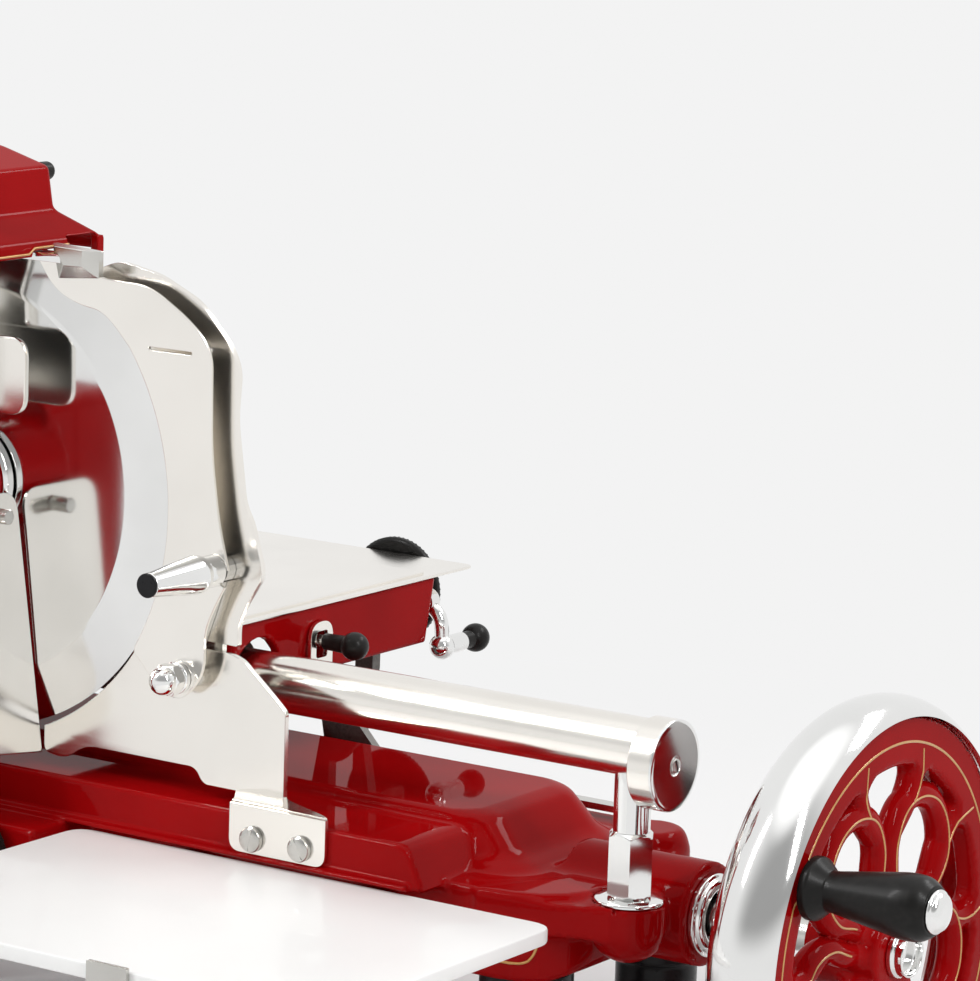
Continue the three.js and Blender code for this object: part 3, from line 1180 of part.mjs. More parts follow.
// The sharpener over the blade: carrier, hood and the stone on its pusher.
function makeSharpener(parent) {
  const hood = {
    half: 50, topHalf: 47, skirtHalf: 70, front: -70, back: 15, skirtFront: -90,
    skirtBack: 35, rim: bladeRadius - 9, lip: bladeRadius - 1, waist: bladeRadius + 14,
    shoulder: bladeRadius + 39, ridge: bladeRadius + 49, ridgeHalf: 11, wall: 2.5, corner: 5,
    taper: 3,
  };
  const carrier = {
    footFront: -64, footBack: -46, footRight: 12, riserHalf: 22,
    plateFront: -24, plateBack: -20, plateLeft: -62, plateRight: 60, plateBottom: 46,
    plateTop: 92, corner: 12, barTop: bladeRadius - 1, barBottom: bladeRadius - 11,
    barRight: 88, post: 5, catchRight: 116, catchBottom: bladeRadius - 22, catchFront: -28,
    catchBack: -14.5, neckHalf: 24,
  };
  const rings = (grow, lower, upper) => [
    levelRing([-hood.skirtHalf - grow, hood.skirtHalf + grow],
      [hood.skirtFront - grow, hood.skirtBack + grow], hood.rim + lower, hood.corner),
    levelRing([-hood.skirtHalf - grow, hood.skirtHalf + grow],
      [hood.skirtFront - grow, hood.skirtBack + grow], hood.lip + upper / 2, hood.corner),
    levelRing([-hood.half - grow, hood.half + grow], [hood.front - grow, hood.back + grow],
      hood.waist + upper, hood.corner),
    levelRing([-hood.topHalf - grow, hood.topHalf + grow],
      [hood.front + hood.taper - grow, hood.back - hood.taper / 2 + grow],
      hood.shoulder + upper, hood.corner),
    levelRing([-hood.ridgeHalf - grow, hood.ridgeHalf + grow],
      [hood.front + hood.taper * 2 - grow, hood.back - hood.taper + grow],
      hood.ridge + upper, hood.corner),
  ];
  const pusher = {
    x: 31, z: bladeRadius + 34, stem: 3, knob: 5.6, knobFront: 20, knobBack: 31, armFront: 6,
    armBack: 10, stoneBack: 13.5, stoneRadius: 12, stoneZ: bladeRadius - 7,
  };
  const stemHole = bar("y", pusher.stem + boltGap, hood.back - hood.wall * 3,
    hood.back + hood.wall * 3, pusher.x, pusher.z);
  const catchWay = block([hood.half, hood.skirtHalf + overrun],
    [carrier.catchFront - runGap * 2, hood.back + hood.wall * 5],
    [hood.rim - overrun, hood.lip + runGap * 4]);
  const shell = without(loft(rings(0, 0, 0)), loft(rings(-hood.wall, -overrun, -hood.wall)),
    stemHole, catchWay);
  piece(parent, "sharpener_hood", shell, "red");
  const stoneBody = joined(
    bar("y", pusher.stem, pusher.armFront, pusher.knobFront + overrun, pusher.x, pusher.z),
    bar("y", pusher.knob, pusher.knobFront, pusher.knobBack, pusher.x, pusher.z),
    block([pusher.x - pusher.stem, pusher.x + pusher.stem], [pusher.armFront, pusher.armBack],
      [pusher.stoneZ + pusher.stoneRadius - pusher.stem, pusher.z]),
    bar("y", pusher.stoneRadius, pusher.armBack - boltGap, pusher.stoneBack, pusher.x,
      pusher.stoneZ));
  piece(parent, "stone_pusher", stoneBody, "black");

  const riserTop = carrier.barTop;
  const headTop = housing.top + fitGap;
  const plateShape = outline([
    [carrier.plateLeft, carrier.plateBottom, carrier.corner],
    [carrier.plateRight, carrier.plateBottom, carrier.corner],
    [carrier.plateRight, carrier.plateTop, carrier.corner],
    [carrier.neckHalf, carrier.plateTop, carrier.corner / 3], [carrier.neckHalf, riserTop],
    [-carrier.neckHalf, riserTop], [-carrier.neckHalf, carrier.plateTop, carrier.corner / 3],
    [carrier.plateLeft, carrier.plateTop, carrier.corner],
  ]);
  const riser = block([-carrier.riserHalf, carrier.footRight],
    [carrier.footFront, carrier.footBack], [headTop, riserTop]);
  const crossbar = block([-hood.half, carrier.barRight],
    [carrier.footFront, carrier.catchBack], [carrier.barBottom, riserTop]);
  const barNotch = block([hood.half, carrier.barRight + overrun],
    [carrier.footFront - overrun, carrier.catchFront],
    [carrier.barBottom - overrun, riserTop + overrun]);
  const roomPost = bar("z", carrier.post, riserTop - overrun,
    hood.ridge - hood.wall - fitGap * 2, 0, (carrier.footFront + carrier.footBack) / 2);
  const catchBlock = plate("y", outline([
    [hood.skirtHalf + carrier.corner, carrier.catchBottom, carrier.corner / 3],
    [carrier.catchRight, carrier.catchBottom + carrier.corner / 4, carrier.corner / 4],
    [carrier.catchRight, carrier.barTop - carrier.corner / 2, carrier.corner / 3],
    [carrier.barRight, carrier.barTop], [carrier.barRight - carrier.corner, carrier.barTop],
  ]), carrier.catchFront, carrier.catchBack);
  piece(parent, "sharpener_carrier", joined(
    riser, without(crossbar, barNotch), catchBlock, roomPost,
    plate("y", plateShape, carrier.plateFront, carrier.plateBack)), "chrome");
}

// The receiving tray, its support and the thickness dial.
function makeTray(parent) {
  const tray = {
    left: 100, right: 436, front: -240, back: -17, gap: 2, thickness: 9, corner: 16, bevel: 1,
  };
  const support = {
    width: 27, rightInset: 121, leftInset: 60, thickness: 3, hookHeight: 15, tie: 14,
    tieBack: 1,
  };
  const topZ = deckZ - platform.foot - tray.gap;
  const under = topZ - tray.thickness;
  const plan = outline([
    [tray.left, tray.front, tray.corner], [tray.right, tray.front, tray.corner],
    [tray.right, tray.back, tray.corner], [tray.left, tray.back, tray.corner],
  ]);
  piece(parent, "receiving_tray", plate("z", plan, under, topZ, tray.bevel), "white");
  const starts = [tray.right - support.rightInset - support.width,
    tray.left + support.leftInset];
  const strapTop = under - fitGap;
  const strapBottom = strapTop - support.thickness;
  const hookFront = tray.front - fitGap - support.thickness;
  const wallFace = base.front - fitGap;
  const straps = starts.map((x) => joined(
    block([x, x + support.width], [hookFront, wallFace], [strapBottom, strapTop]),
    block([x, x + support.width], [hookFront, hookFront + support.thickness],
      [strapBottom, strapBottom + support.hookHeight])));
  const tie = block([starts[1], starts[0] + support.width], [wallFace - support.thickness,
    wallFace], [strapBottom - support.tie, strapTop]);
  piece(parent, "tray_support", joined(...straps, tie), "steel");
  const dial = {
    x: 50, drop: 24, radius: 30, rim: 26, front: 16, hub: 11, gap: 3, knob: 12, knobLength: 8,
  };
  const dialZ = deckZ - dial.drop;
  const dialBack = apron.shelfFront - dial.gap;
  const face = dialBack - dial.front;
  piece(parent, "thickness_dial", turned("y", [
    [0, face - dial.knobLength], [dial.knob, face - dial.knobLength], [dial.knob, face],
    [dial.rim, face], [dial.radius, face + dial.gap], [dial.radius, dialBack - dial.gap],
    [dial.hub, dialBack - dial.gap], [dial.hub, dialBack + dial.gap - fitGap],
    [0, dialBack + dial.gap - fitGap],
  ], dial.x, dialZ, fineCount), "black");
}

makeBase(slicer);
makeRods(slicer);
makeBracket(slicer);
makeGuards(slicer);
makeBlade(slicer);
makeHousing(slicer);
makeDeflector(slicer);
makeDrive(slicer);
makeFlywheel(slicer);
makeRocker(slicer);
makeCarriage(slicer);
makeTable(slicer);
makeSharpener(slicer);
makeTray(slicer);

// The part's origin is under the middle of its bounding box, on the surface it stands on.
const bounds = new THREE.Box3().setFromObject(machine, true);
const middle = bounds.getCenter(new THREE.Vector3());
slicer.position.set(-middle.x, -middle.y, -bounds.min.z);

export default machine;
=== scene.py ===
"""Looks of a hand crank meat slicer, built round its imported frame.

Sizes are in millimetres from the middle of the blade's front face, with X along the slide
rod towards the flywheel, Y away from the operator and Z up. Meshes are made in metres.
"""

import json
import logging
import math
from dataclasses import dataclass
from enum import Enum
from functools import reduce
from itertools import product
from typing import Callable, Optional, Sequence, Union

import bmesh
import bpy
import numpy as np
from mathutils import Matrix, Vector
from mathutils.geometry import tessellate_polygon

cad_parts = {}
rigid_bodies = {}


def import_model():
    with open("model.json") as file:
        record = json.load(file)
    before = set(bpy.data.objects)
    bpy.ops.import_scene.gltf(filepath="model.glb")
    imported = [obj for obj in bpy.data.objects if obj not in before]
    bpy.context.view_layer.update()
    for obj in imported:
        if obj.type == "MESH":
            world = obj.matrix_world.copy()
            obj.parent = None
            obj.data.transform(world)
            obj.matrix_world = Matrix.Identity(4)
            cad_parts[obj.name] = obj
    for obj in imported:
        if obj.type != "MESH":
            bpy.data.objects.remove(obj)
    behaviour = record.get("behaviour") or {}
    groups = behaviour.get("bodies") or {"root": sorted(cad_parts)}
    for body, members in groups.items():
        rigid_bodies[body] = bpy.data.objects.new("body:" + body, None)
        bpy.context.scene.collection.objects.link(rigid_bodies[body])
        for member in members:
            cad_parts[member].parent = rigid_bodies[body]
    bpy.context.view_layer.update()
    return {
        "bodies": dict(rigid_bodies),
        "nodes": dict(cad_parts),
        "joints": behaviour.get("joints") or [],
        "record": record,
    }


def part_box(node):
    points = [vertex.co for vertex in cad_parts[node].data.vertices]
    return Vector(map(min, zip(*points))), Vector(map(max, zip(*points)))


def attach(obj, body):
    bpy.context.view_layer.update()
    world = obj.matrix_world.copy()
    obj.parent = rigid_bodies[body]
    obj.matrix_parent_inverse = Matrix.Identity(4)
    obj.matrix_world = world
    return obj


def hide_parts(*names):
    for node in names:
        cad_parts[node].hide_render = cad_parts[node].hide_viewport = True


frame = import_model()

log = logging.getLogger("slicer")

MM = 0.001
Point = Sequence[float]
Value = Union[float, int, bool, str, tuple, "Wire", object]
Depth = Callable[[np.ndarray, np.ndarray, np.ndarray], np.ndarray]


class Slot(str, Enum):
    """The record's material slots."""

    RED = "red_enamel"
    CHROME = "chrome"
    NICKEL = "nickel"
    BLADE = "blade_steel"
    STEEL = "steel"
    WHITE = "white_enamel"
    BLACK = "black_gloss"
    PAINT = "black_paint"
    RUBBER = "foot_rubber"
    IRON = "cast_iron"
    GOLD = "gold_line"
    STONE = "sharpening_stone"


# Node trees

class Wire:
    """A node's output that takes part in Python expressions."""

    def __init__(self, graph: "Graph", socket: bpy.types.NodeSocket) -> None:
        """Keeps the output and the tree it is in."""
        self.graph = graph
        self.socket = socket

    def _maths(self, operation: str, *values: Value) -> "Wire":
        """Adds a Math node on the values and returns its output.

        Args:
            operation: what the node does.
            values: its numbers or wires.

        Returns:
            The node's output.
        """
        node = self.graph.add("ShaderNodeMath", {"operation": operation},
                              dict(enumerate(values)))
        return self.graph.out(node)

    def __add__(self, other: Value) -> "Wire":
        """Adds."""
        return self._maths("ADD", self, other)

    __radd__ = __add__

    def __sub__(self, other: Value) -> "Wire":
        """Subtracts a value."""
        return self._maths("SUBTRACT", self, other)

    def __rsub__(self, other: Value) -> "Wire":
        """Subtracts from a value."""
        return self._maths("SUBTRACT", other, self)

    def __mul__(self, other: Value) -> "Wire":
        """Multiplies."""
        return self._maths("MULTIPLY", self, other)

    __rmul__ = __mul__

    def between(self, low: float, high: float) -> "Wire":
        """Maps low to high smoothly onto nought to one.

        Args:
            low: the value that becomes nought.
            high: the value that becomes one.

        Returns:
            The mapped value.
        """
        node = self.graph.add("ShaderNodeMapRange", {"interpolation_type": "SMOOTHSTEP"},
                              {"Value": self, "From Min": low, "From Max": high})
        return self.graph.out(node)


class Graph:
    """A node tree written from Python."""

    def __init__(self, tree: bpy.types.NodeTree) -> None:
        """Keeps the tree."""
        self.tree = tree

    def add(self, kind: str, settings: Optional[dict] = None,
            values: Optional[dict] = None) -> bpy.types.Node:
        """Adds a node.

        Args:
            kind: the node's type name.
            settings: properties, set first; "stops" holds a ramp's places and colours.
            values: numbers or wires by socket name or number.

        Returns:
            The node.
        """
        node = self.tree.nodes.new(kind)
        for name, value in (settings or {}).items():
            if name == "stops":
                for i, (place, colour) in enumerate(value):
                    ramp = node.color_ramp.elements
                    stop = ramp[i] if i < 2 else ramp.new(place)
                    stop.position, stop.color = place, colour
            else:
                setattr(node, name, value)
        for key, value in (values or {}).items():
            self.feed(node.inputs[key], value)
        return node

    def feed(self, socket: bpy.types.NodeSocket, value: Value) -> None:
        """Links a wire to a socket, or sets its value.

        Args:
            socket: the input.
            value: a wire, or what the input is set to.
        """
        if isinstance(value, Wire):
            self.tree.links.new(value.socket, socket)
        else:
            socket.default_value = value

    def out(self, node: bpy.types.Node, key: Union[int, str] = 0) -> Wire:
        """The node's output as a wire."""
        return Wire(self, node.outputs[key])


class Paint(Graph):
    """A material's node tree, with the shapes of noise that the finishes share."""

    def __init__(self, name: str) -> None:
        """Starts an empty material.

        Args:
            name: the material's name.
        """
        self.material = bpy.data.materials.new(name)
        self.material.use_nodes = True
        super().__init__(self.material.node_tree)
        self.tree.nodes.clear()
        self.exit = self.tree.nodes.new("ShaderNodeOutputMaterial")
        self.place = self.out(self.add("ShaderNodeTexCoord"), "Object")

    def noise(self, scale: float, detail: float = 2.0,
              stretch: tuple[float, float, float] = (1.0, 1.0, 1.0)) -> Wire:
        """Noise on the object's own metres, stretched along its axes.

        Args:
            scale: how many clouds there are to a metre.
            detail: how many finer layers it has.
            stretch: how its scale is multiplied along each axis.

        Returns:
            The noise.
        """
        mapped = self.add("ShaderNodeMapping", None,
                          {"Vector": self.place, "Scale": stretch})
        node = self.add("ShaderNodeTexNoise", None, {
            "Vector": self.out(mapped), "Scale": scale, "Detail": detail})
        return self.out(node)

    def tint(self, factor: Value, first: tuple, second: tuple) -> Wire:
        """Mixes two colours.

        Args:
            factor: the share of the second colour.
            first: a colour.
            second: another colour.

        Returns:
            The mixed colour.
        """
        node = self.add("ShaderNodeMix", {"data_type": "RGBA"}, {
            0: factor, 6: (*first, 1.0), 7: (*second, 1.0)})
        return self.out(node, 2)

    def bump(self, height: Wire, depth: float, under: Optional[Wire] = None) -> Wire:
        """Turns a height into a normal, its depth in metres.

        Args:
            height: the height, from nought to one.
            depth: what a height of one is in metres.
            under: a normal that it is laid on.

        Returns:
            The normal.
        """
        values = {"Height": height, "Strength": 1.0, "Distance": depth}
        if under is not None:
            values["Normal"] = under
        return self.out(self.add("ShaderNodeBump", None, values))

    def finish(self, values: dict) -> bpy.types.Material:
        """Ends the tree in one Principled shader.

        Args:
            values: the shader's inputs by name.

        Returns:
            The material.
        """
        shader = self.add("ShaderNodeBsdfPrincipled", None, values)
        self.feed(self.exit.inputs["Surface"], self.out(shader))
        return self.material


@dataclass(frozen=True)
class Enamel:
    """Stove enamel under a clear coat, with a faint orange peel."""

    name: str
    colour: tuple = (0.33, 0.0026, 0.0036)
    deep: tuple = (0.27, 0.0019, 0.0026)
    rough: float = 0.22
    peel: float = 0.000003
    shine: float = 0.0
    coat: float = 0.40
    coat_index: float = 1.26

    def material(self) -> bpy.types.Material:
        """Makes the material.

        Returns:
            The material.
        """
        paint = Paint(self.name)
        clouds = paint.noise(9.0, 3.0)
        specks = paint.noise(1400.0, 1.0).between(0.70, 0.78)
        skin = paint.noise(260.0, 2.0) + paint.noise(900.0, 1.0) * 0.25
        return paint.finish({
            "Base Color": paint.tint(clouds.between(0.35, 0.65), self.deep, self.colour),
            "Roughness": paint.noise(60.0, 3.0) * 0.08 + specks * 0.1 + (self.rough - 0.04),
            "Coat Weight": self.coat, "Coat Roughness": 0.03, "Coat IOR": self.coat_index,
            "Specular IOR Level": self.shine, "Normal": paint.bump(skin, self.peel)})


@dataclass(frozen=True)
class Plated:
    """Plated and polished metal, with fine buffing lines and faint smears."""

    name: str
    colour: tuple = (0.86, 0.85, 0.82)
    shade: tuple = (0.78, 0.77, 0.73)
    rough: float = 0.07
    smear: float = 0.05
    grain: tuple = (1.0, 1.0, 1.0)
    depth: float = 0.000001

    def material(self) -> bpy.types.Material:
        """Makes the material.

        Returns:
            The material.
        """
        paint = Paint(self.name)
        clouds = paint.noise(14.0, 4.0)
        lines = paint.noise(700.0, 3.0, self.grain)
        scratches = paint.noise(300.0, 6.0, tuple(v * 2.5 for v in self.grain))
        marks = scratches.between(0.62, 0.72)
        return paint.finish({
            "Base Color": paint.tint(clouds.between(0.3, 0.7), self.shade, self.colour),
            "Metallic": 1.0,
            "Roughness": clouds * self.smear + marks * 0.04 + (self.rough - self.smear * 0.5),
            "Normal": paint.bump(lines, self.depth)})


@dataclass(frozen=True)
class Matt:
    """Paint, rubber, stone or rough casting without plating."""

    name: str
    colour: tuple
    shade: tuple
    rough: float = 0.5
    metal: float = 0.0
    scale: float = 400.0
    depth: float = 0.00002
    coat: float = 0.0
    shine: float = 0.5

    def material(self) -> bpy.types.Material:
        """Makes the material.

        Returns:
            The material.
        """
        paint = Paint(self.name)
        grain = paint.noise(self.scale, 5.0)
        clouds = paint.noise(self.scale * 0.06, 3.0)
        mixed = clouds * 0.5 + grain * 0.5
        return paint.finish({
            "Base Color": paint.tint(mixed.between(0.35, 0.65), self.shade, self.colour),
            "Metallic": self.metal,
            "Roughness": grain * 0.16 + (self.rough - 0.08),
            "Coat Weight": self.coat, "Coat Roughness": 0.12,
            "Specular IOR Level": self.shine,
            "Normal": paint.bump(grain, self.depth)})


FINISHES = {
    Slot.RED: Enamel("red_enamel"),
    Slot.CHROME: Plated("chrome", (0.88, 0.88, 0.87), (0.83, 0.83, 0.82), 0.08, 0.02),
    Slot.NICKEL: Plated("nickel", (0.92, 0.89, 0.84), (0.88, 0.85, 0.80), 0.17, 0.05,
                        (0.12, 1.0, 1.0)),
    Slot.BLADE: Plated("blade_steel", (0.86, 0.86, 0.85), (0.80, 0.80, 0.79), 0.09, 0.03),
    Slot.STEEL: Plated("steel", (0.66, 0.65, 0.62), (0.56, 0.55, 0.52), 0.22, 0.08,
                       (1.0, 1.0, 1.0), 0.000004),
    Slot.WHITE: Enamel("white_enamel", (0.92, 0.92, 0.91), (0.90, 0.90, 0.89), 0.35, 0.000005,
                       0.3, 0.25, 1.3),
    Slot.BLACK: Matt("black_gloss", (0.014, 0.013, 0.012), (0.008, 0.0075, 0.007), 0.36,
                     0.0, 220.0, 0.000006, 0.05, 0.16),
    Slot.PAINT: Matt("black_paint", (0.010, 0.010, 0.011), (0.006, 0.006, 0.007), 0.30,
                     0.0, 350.0, 0.00001, 0.1, 0.15),
    Slot.RUBBER: Matt("foot_rubber", (0.020, 0.020, 0.020), (0.011, 0.011, 0.011), 0.75,
                      0.0, 900.0, 0.00003),
    Slot.IRON: Matt("cast_iron", (0.20, 0.19, 0.18), (0.12, 0.115, 0.11), 0.5, 0.9, 500.0,
                    0.00006),
    Slot.GOLD: Matt("gold_line", (0.62, 0.33, 0.09), (0.50, 0.25, 0.06), 0.32, 0.3, 900.0,
                    0.000004, 0.8),
    Slot.STONE: Matt("sharpening_stone", (0.30, 0.29, 0.27), (0.18, 0.175, 0.17), 0.9, 0.0,
                     1500.0, 0.00008),
}


# Meshes of named sizes

def spread(axis: str, u: np.ndarray, v: np.ndarray, w: np.ndarray) -> np.ndarray:
    """Puts w along an axis and u, v on the other two in their usual order.

    Args:
        axis: the axis of w.
        u: places along the first coordinate.
        v: places along the second coordinate.
        w: places along the axis.

    Returns:
        The points, one to a row.
    """
    u, v, w = np.broadcast_arrays(u, v, w)
    order = {"x": (w, u, v), "y": (u, w, v), "z": (u, v, w)}[axis]
    return np.stack([np.asarray(part, float) for part in order], -1)


@dataclass
class Shape:
    """A closed mesh in millimetres."""

    spots: np.ndarray
    faces: list
    normals: Optional[np.ndarray] = None

    def __add__(self, other: "Shape") -> "Shape":
        """Both meshes as one.

        Args:
            other: the other mesh.

        Returns:
            The joined mesh.
        """
        shift = len(self.spots)
        faces = self.faces + [tuple(i + shift for i in face) for face in other.faces]
        return Shape(np.vstack([self.spots, other.spots]), faces)

    def moved(self, x: float = 0.0, y: float = 0.0, z: float = 0.0) -> "Shape":
        """The mesh moved."""
        return Shape(self.spots + np.array([x, y, z], float), self.faces)

    def turned(self, axis: str, angle: float, pivot: Point = (0, 0, 0)) -> "Shape":
        """The mesh turned about an axis through a pivot, in degrees.

        Args:
            axis: the axis, x, y or z.
            angle: the angle in degrees.
            pivot: a point on the axis.

        Returns:
            The turned mesh.
        """
        matrix = np.array(Matrix.Rotation(math.radians(angle), 3, axis.upper()))
        middle = np.array(pivot, float)
        return Shape((self.spots - middle) @ matrix.T + middle, self.faces)


def eased(points: Sequence[Point], reach: float = 0.0, steps: int = 6,
          closed: bool = True) -> list[tuple[float, float]]:
    """Rounds the corners of a path.

    Args:
        points: corners of two coordinates, and a third where one has its own reach.
        reach: how far a corner's rounding goes along each side.
        steps: the number of pieces in one corner.
        closed: True for an outline.

    Returns:
        The rounded path's points.
    """
    made, count = [], len(points)
    for i, point in enumerate(points):
        here = np.array(point[:2], float)
        own = point[2] if len(point) > 2 else reach
        if own <= 0 or (not closed and i in (0, count - 1)):
            made.append(tuple(here))
            continue
        before = np.array(points[i - 1][:2], float)
        after = np.array(points[(i + 1) % count][:2], float)
        own = min(own, np.linalg.norm(before - here) / 2, np.linalg.norm(after - here) / 2)
        start = here + (before - here) / np.linalg.norm(before - here) * own
        end = here + (after - here) / np.linalg.norm(after - here) * own
        for share in np.linspace(0, 1, steps + 1):
            spot = (1 - share) ** 2 * start + 2 * share * (1 - share) * here + share ** 2 * end
            made.append(tuple(spot))
    kept = [made[0]]
    for spot in made[1:]:
        if math.dist(spot, kept[-1]) > 1e-4:
            kept.append(spot)
    if closed and math.dist(kept[0], kept[-1]) < 1e-4:
        kept.pop()
    return kept


def oblong(x: Point, y: Point, reach: float = 0.0, steps: int = 6) -> list:
    """A rectangle's outline with rounded corners."""
    return eased([(x[0], y[0]), (x[1], y[0]), (x[1], y[1]), (x[0], y[1])], reach, steps)


def arc(radius: float, start: float, end: float, steps: int,
        middle: Point = (0.0, 0.0)) -> list:
    """Points on an arc, angles in degrees.

    Args:
        radius: the arc's radius.
        start: the first angle.
        end: the last angle.
        steps: the number of pieces.
        middle: the arc's middle.

    Returns:
        The points.
    """
    angles = np.radians(np.linspace(start, end, steps + 1))
    return [(middle[0] + radius * math.cos(a), middle[1] + radius * math.sin(a))
            for a in angles]


def lathe(axis: str, profile: Sequence[Point], middle: Point = (0.0, 0.0), count: int = 96,
          ring: bool = False) -> Shape:
    """Spins radius and place pairs about an axis.

    Args:
        axis: the axis it spins about.
        profile: pairs of radius and place along the axis.
        middle: where the axis stands on the other two coordinates.
        count: the number of sides.
        ring: True if the profile closes on itself.

    Returns:
        The closed mesh.
    """
    angles = np.linspace(0, 2 * math.pi, count, endpoint=False)
    spots, rows = [], []
    for radius, along in profile:
        turns = angles if radius > 1e-6 else angles[:1]
        start = sum(len(part) for part in spots)
        spots.append(spread(axis, middle[0] + radius * np.cos(turns),
                            middle[1] + radius * np.sin(turns), np.full(len(turns), along)))
        rows.append([start + i % len(turns) for i in range(count)])
    pairs = list(zip(rows, rows[1:])) + ([(rows[-1], rows[0])] if ring else [])
    faces = []
    for low, high in pairs:
        for i in range(count):
            j = (i + 1) % count
            face = [low[i], low[j], high[j], high[i]]
            faces.append(tuple(dict.fromkeys(face)))
    if not ring:
        faces += [tuple(row) for row in (rows[0], rows[-1]) if len(set(row)) > 2]
    return Shape(np.vstack(spots), [face for face in faces if len(face) > 2])


def inset(loop: np.ndarray, amount: float) -> np.ndarray:
    """A loop moved to its left side by an amount.

    Args:
        loop: the points of a closed loop.
        amount: how far it is moved.

    Returns:
        The moved loop.
    """
    before, after = loop - np.roll(loop, 1, 0), np.roll(loop, -1, 0) - loop
    sides = [np.stack([-d[:, 1], d[:, 0]], 1) / np.linalg.norm(d, axis=1)[:, None]
             for d in (before, after)]
    lean = sides[0] + sides[1]
    lean /= np.maximum(np.linalg.norm(lean, axis=1), 1e-9)[:, None]
    stretch = np.maximum((lean * sides[0]).sum(1), 0.5)
    return loop + lean * (amount / stretch)[:, None]


def wound(loop: Sequence[Point], left: bool) -> np.ndarray:
    """A loop as an array that winds to the left or to the right.

    Args:
        loop: the points of a closed loop.
        left: True to wind to the left.

    Returns:
        The loop's points.
    """
    spots = np.array([p[:2] for p in loop], float)
    following = np.roll(spots, -1, 0)
    area = (spots[:, 0] * following[:, 1] - following[:, 0] * spots[:, 1]).sum()
    return spots if (area > 0) == left else spots[::-1]


def slab(axis: str, outline: Sequence[Point], low: float, high: float, edge: float = 0.4,
         holes: Sequence[Sequence[Point]] = ()) -> Shape:
    """A plate of an outline, with eased edges and holes.

    Args:
        axis: the axis across its thickness.
        outline: the outline on the other two coordinates.
        low: its lower face.
        high: its upper face.
        edge: the size of its eased edges.
        holes: outlines cut right through.

    Returns:
        The closed mesh.
    """
    loops = [wound(outline, True)] + [wound(hole, False) for hole in holes]
    steps = [(edge, 0.0), (edge * 0.3, edge * 0.3), (0.0, edge)]
    levels = [(low + rise, way) for way, rise in steps]
    levels += [(high - rise, way) for way, rise in reversed(steps)]
    spots, faces, caps, total = [], [], ([], []), 0
    for loop in loops:
        count = len(loop)
        for level, (place, way) in enumerate(levels):
            ring = inset(loop, way) if way > 0 else loop
            spots.append(spread(axis, ring[:, 0], ring[:, 1], np.full(count, place)))
            if level:
                last, here = total + (level - 1) * count, total + level * count
                faces += [(last + i, last + (i + 1) % count, here + (i + 1) % count, here + i)
                          for i in range(count)]
        caps[0].append([Vector((*p, 0)) for p in inset(loop, edge)])
        caps[1].append([total + i for i in range(count)])
        total += len(levels) * count
    numbers = [i for part in caps[1] for i in part]
    shift = {}
    for loop, part in zip(loops, caps[1]):
        shift.update({i: i + (len(levels) - 1) * len(loop) for i in part})
    for face in tessellate_polygon(caps[0]):
        below = [numbers[i] for i in face]
        faces.append(tuple(reversed(below)))
        faces.append(tuple(shift[i] for i in below))
    return Shape(np.vstack(spots), faces)


def loft(rings: Sequence[np.ndarray], closed: bool = False) -> Shape:
    """A skin through rings of as many points each, capped at both ends unless closed.

    Args:
        rings: the rings in order.
        closed: True if the last ring joins the first.

    Returns:
        The closed mesh.
    """
    count = len(rings[0])
    pairs = [(i, i + 1) for i in range(len(rings) - 1)]
    pairs += [(len(rings) - 1, 0)] if closed else []
    faces = [(a * count + i, a * count + (i + 1) % count, b * count + (i + 1) % count,
              b * count + i) for a, b in pairs for i in range(count)]
    if not closed:
        top = (len(rings) - 1) * count
        faces += [tuple(reversed(range(count))), tuple(range(top, top + count))]
    return Shape(np.vstack(rings), faces)


def smooth_path(points: Sequence[Point], steps: int) -> np.ndarray:
    """A smooth path through points.

    Args:
        points: the points it goes through.
        steps: the number of pieces between two points.

    Returns:
        The path's points.
    """
    spots = np.array(points, float)
    ghost = np.vstack([2 * spots[0] - spots[1], spots, 2 * spots[-1] - spots[-2]])
    path = []
    for i in range(len(spots) - 1):
        a, b, c, d = ghost[i:i + 4]
        for t in np.linspace(0, 1, steps, endpoint=False):
            path.append(0.5 * (2 * b + (c - a) * t + (2 * a - 5 * b + 4 * c - d) * t ** 2
                               + (3 * b - a - 3 * c + d) * t ** 3))
    return np.array(path + [spots[-1]])


def hose(points: Sequence[Point], radius: float, sides: int = 24, steps: int = 8,
         round_ends: bool = True) -> Shape:
    """A round bar along a smooth path through points.

    Args:
        points: the points it goes through.
        radius: the bar's radius.
        sides: the number of sides.
        steps: the number of pieces between two points.
        round_ends: True for domed ends.

    Returns:
        The closed mesh.
    """
    path = smooth_path(points, steps)
    ways = np.gradient(path, axis=0)
    ways /= np.linalg.norm(ways, axis=1)[:, None]
    aside = np.cross(ways[0], [0.31, 0.55, 0.77])
    aside /= np.linalg.norm(aside)
    stops = [(path[i], ways[i], radius) for i in range(len(path))]
    if round_ends:
        bends = [(math.cos(a), math.sin(a)) for a in np.radians([18, 40, 62, 80])]
        head = [(path[0] - ways[0] * radius * s, ways[0], radius * c) for c, s in bends]
        tail = [(path[-1] + ways[-1] * radius * s, ways[-1], radius * c) for c, s in bends]
        stops = head[::-1] + stops + tail
    rings, turns = [], np.linspace(0, 2 * math.pi, sides, endpoint=False)
    for spot, way, size in stops:
        aside = aside - way * (aside @ way)
        aside /= np.linalg.norm(aside)
        across = np.cross(way, aside)
        rings.append(spot + size * (np.cos(turns)[:, None] * aside
                                    + np.sin(turns)[:, None] * across))
    return loft(rings)


# Castings of distance fields

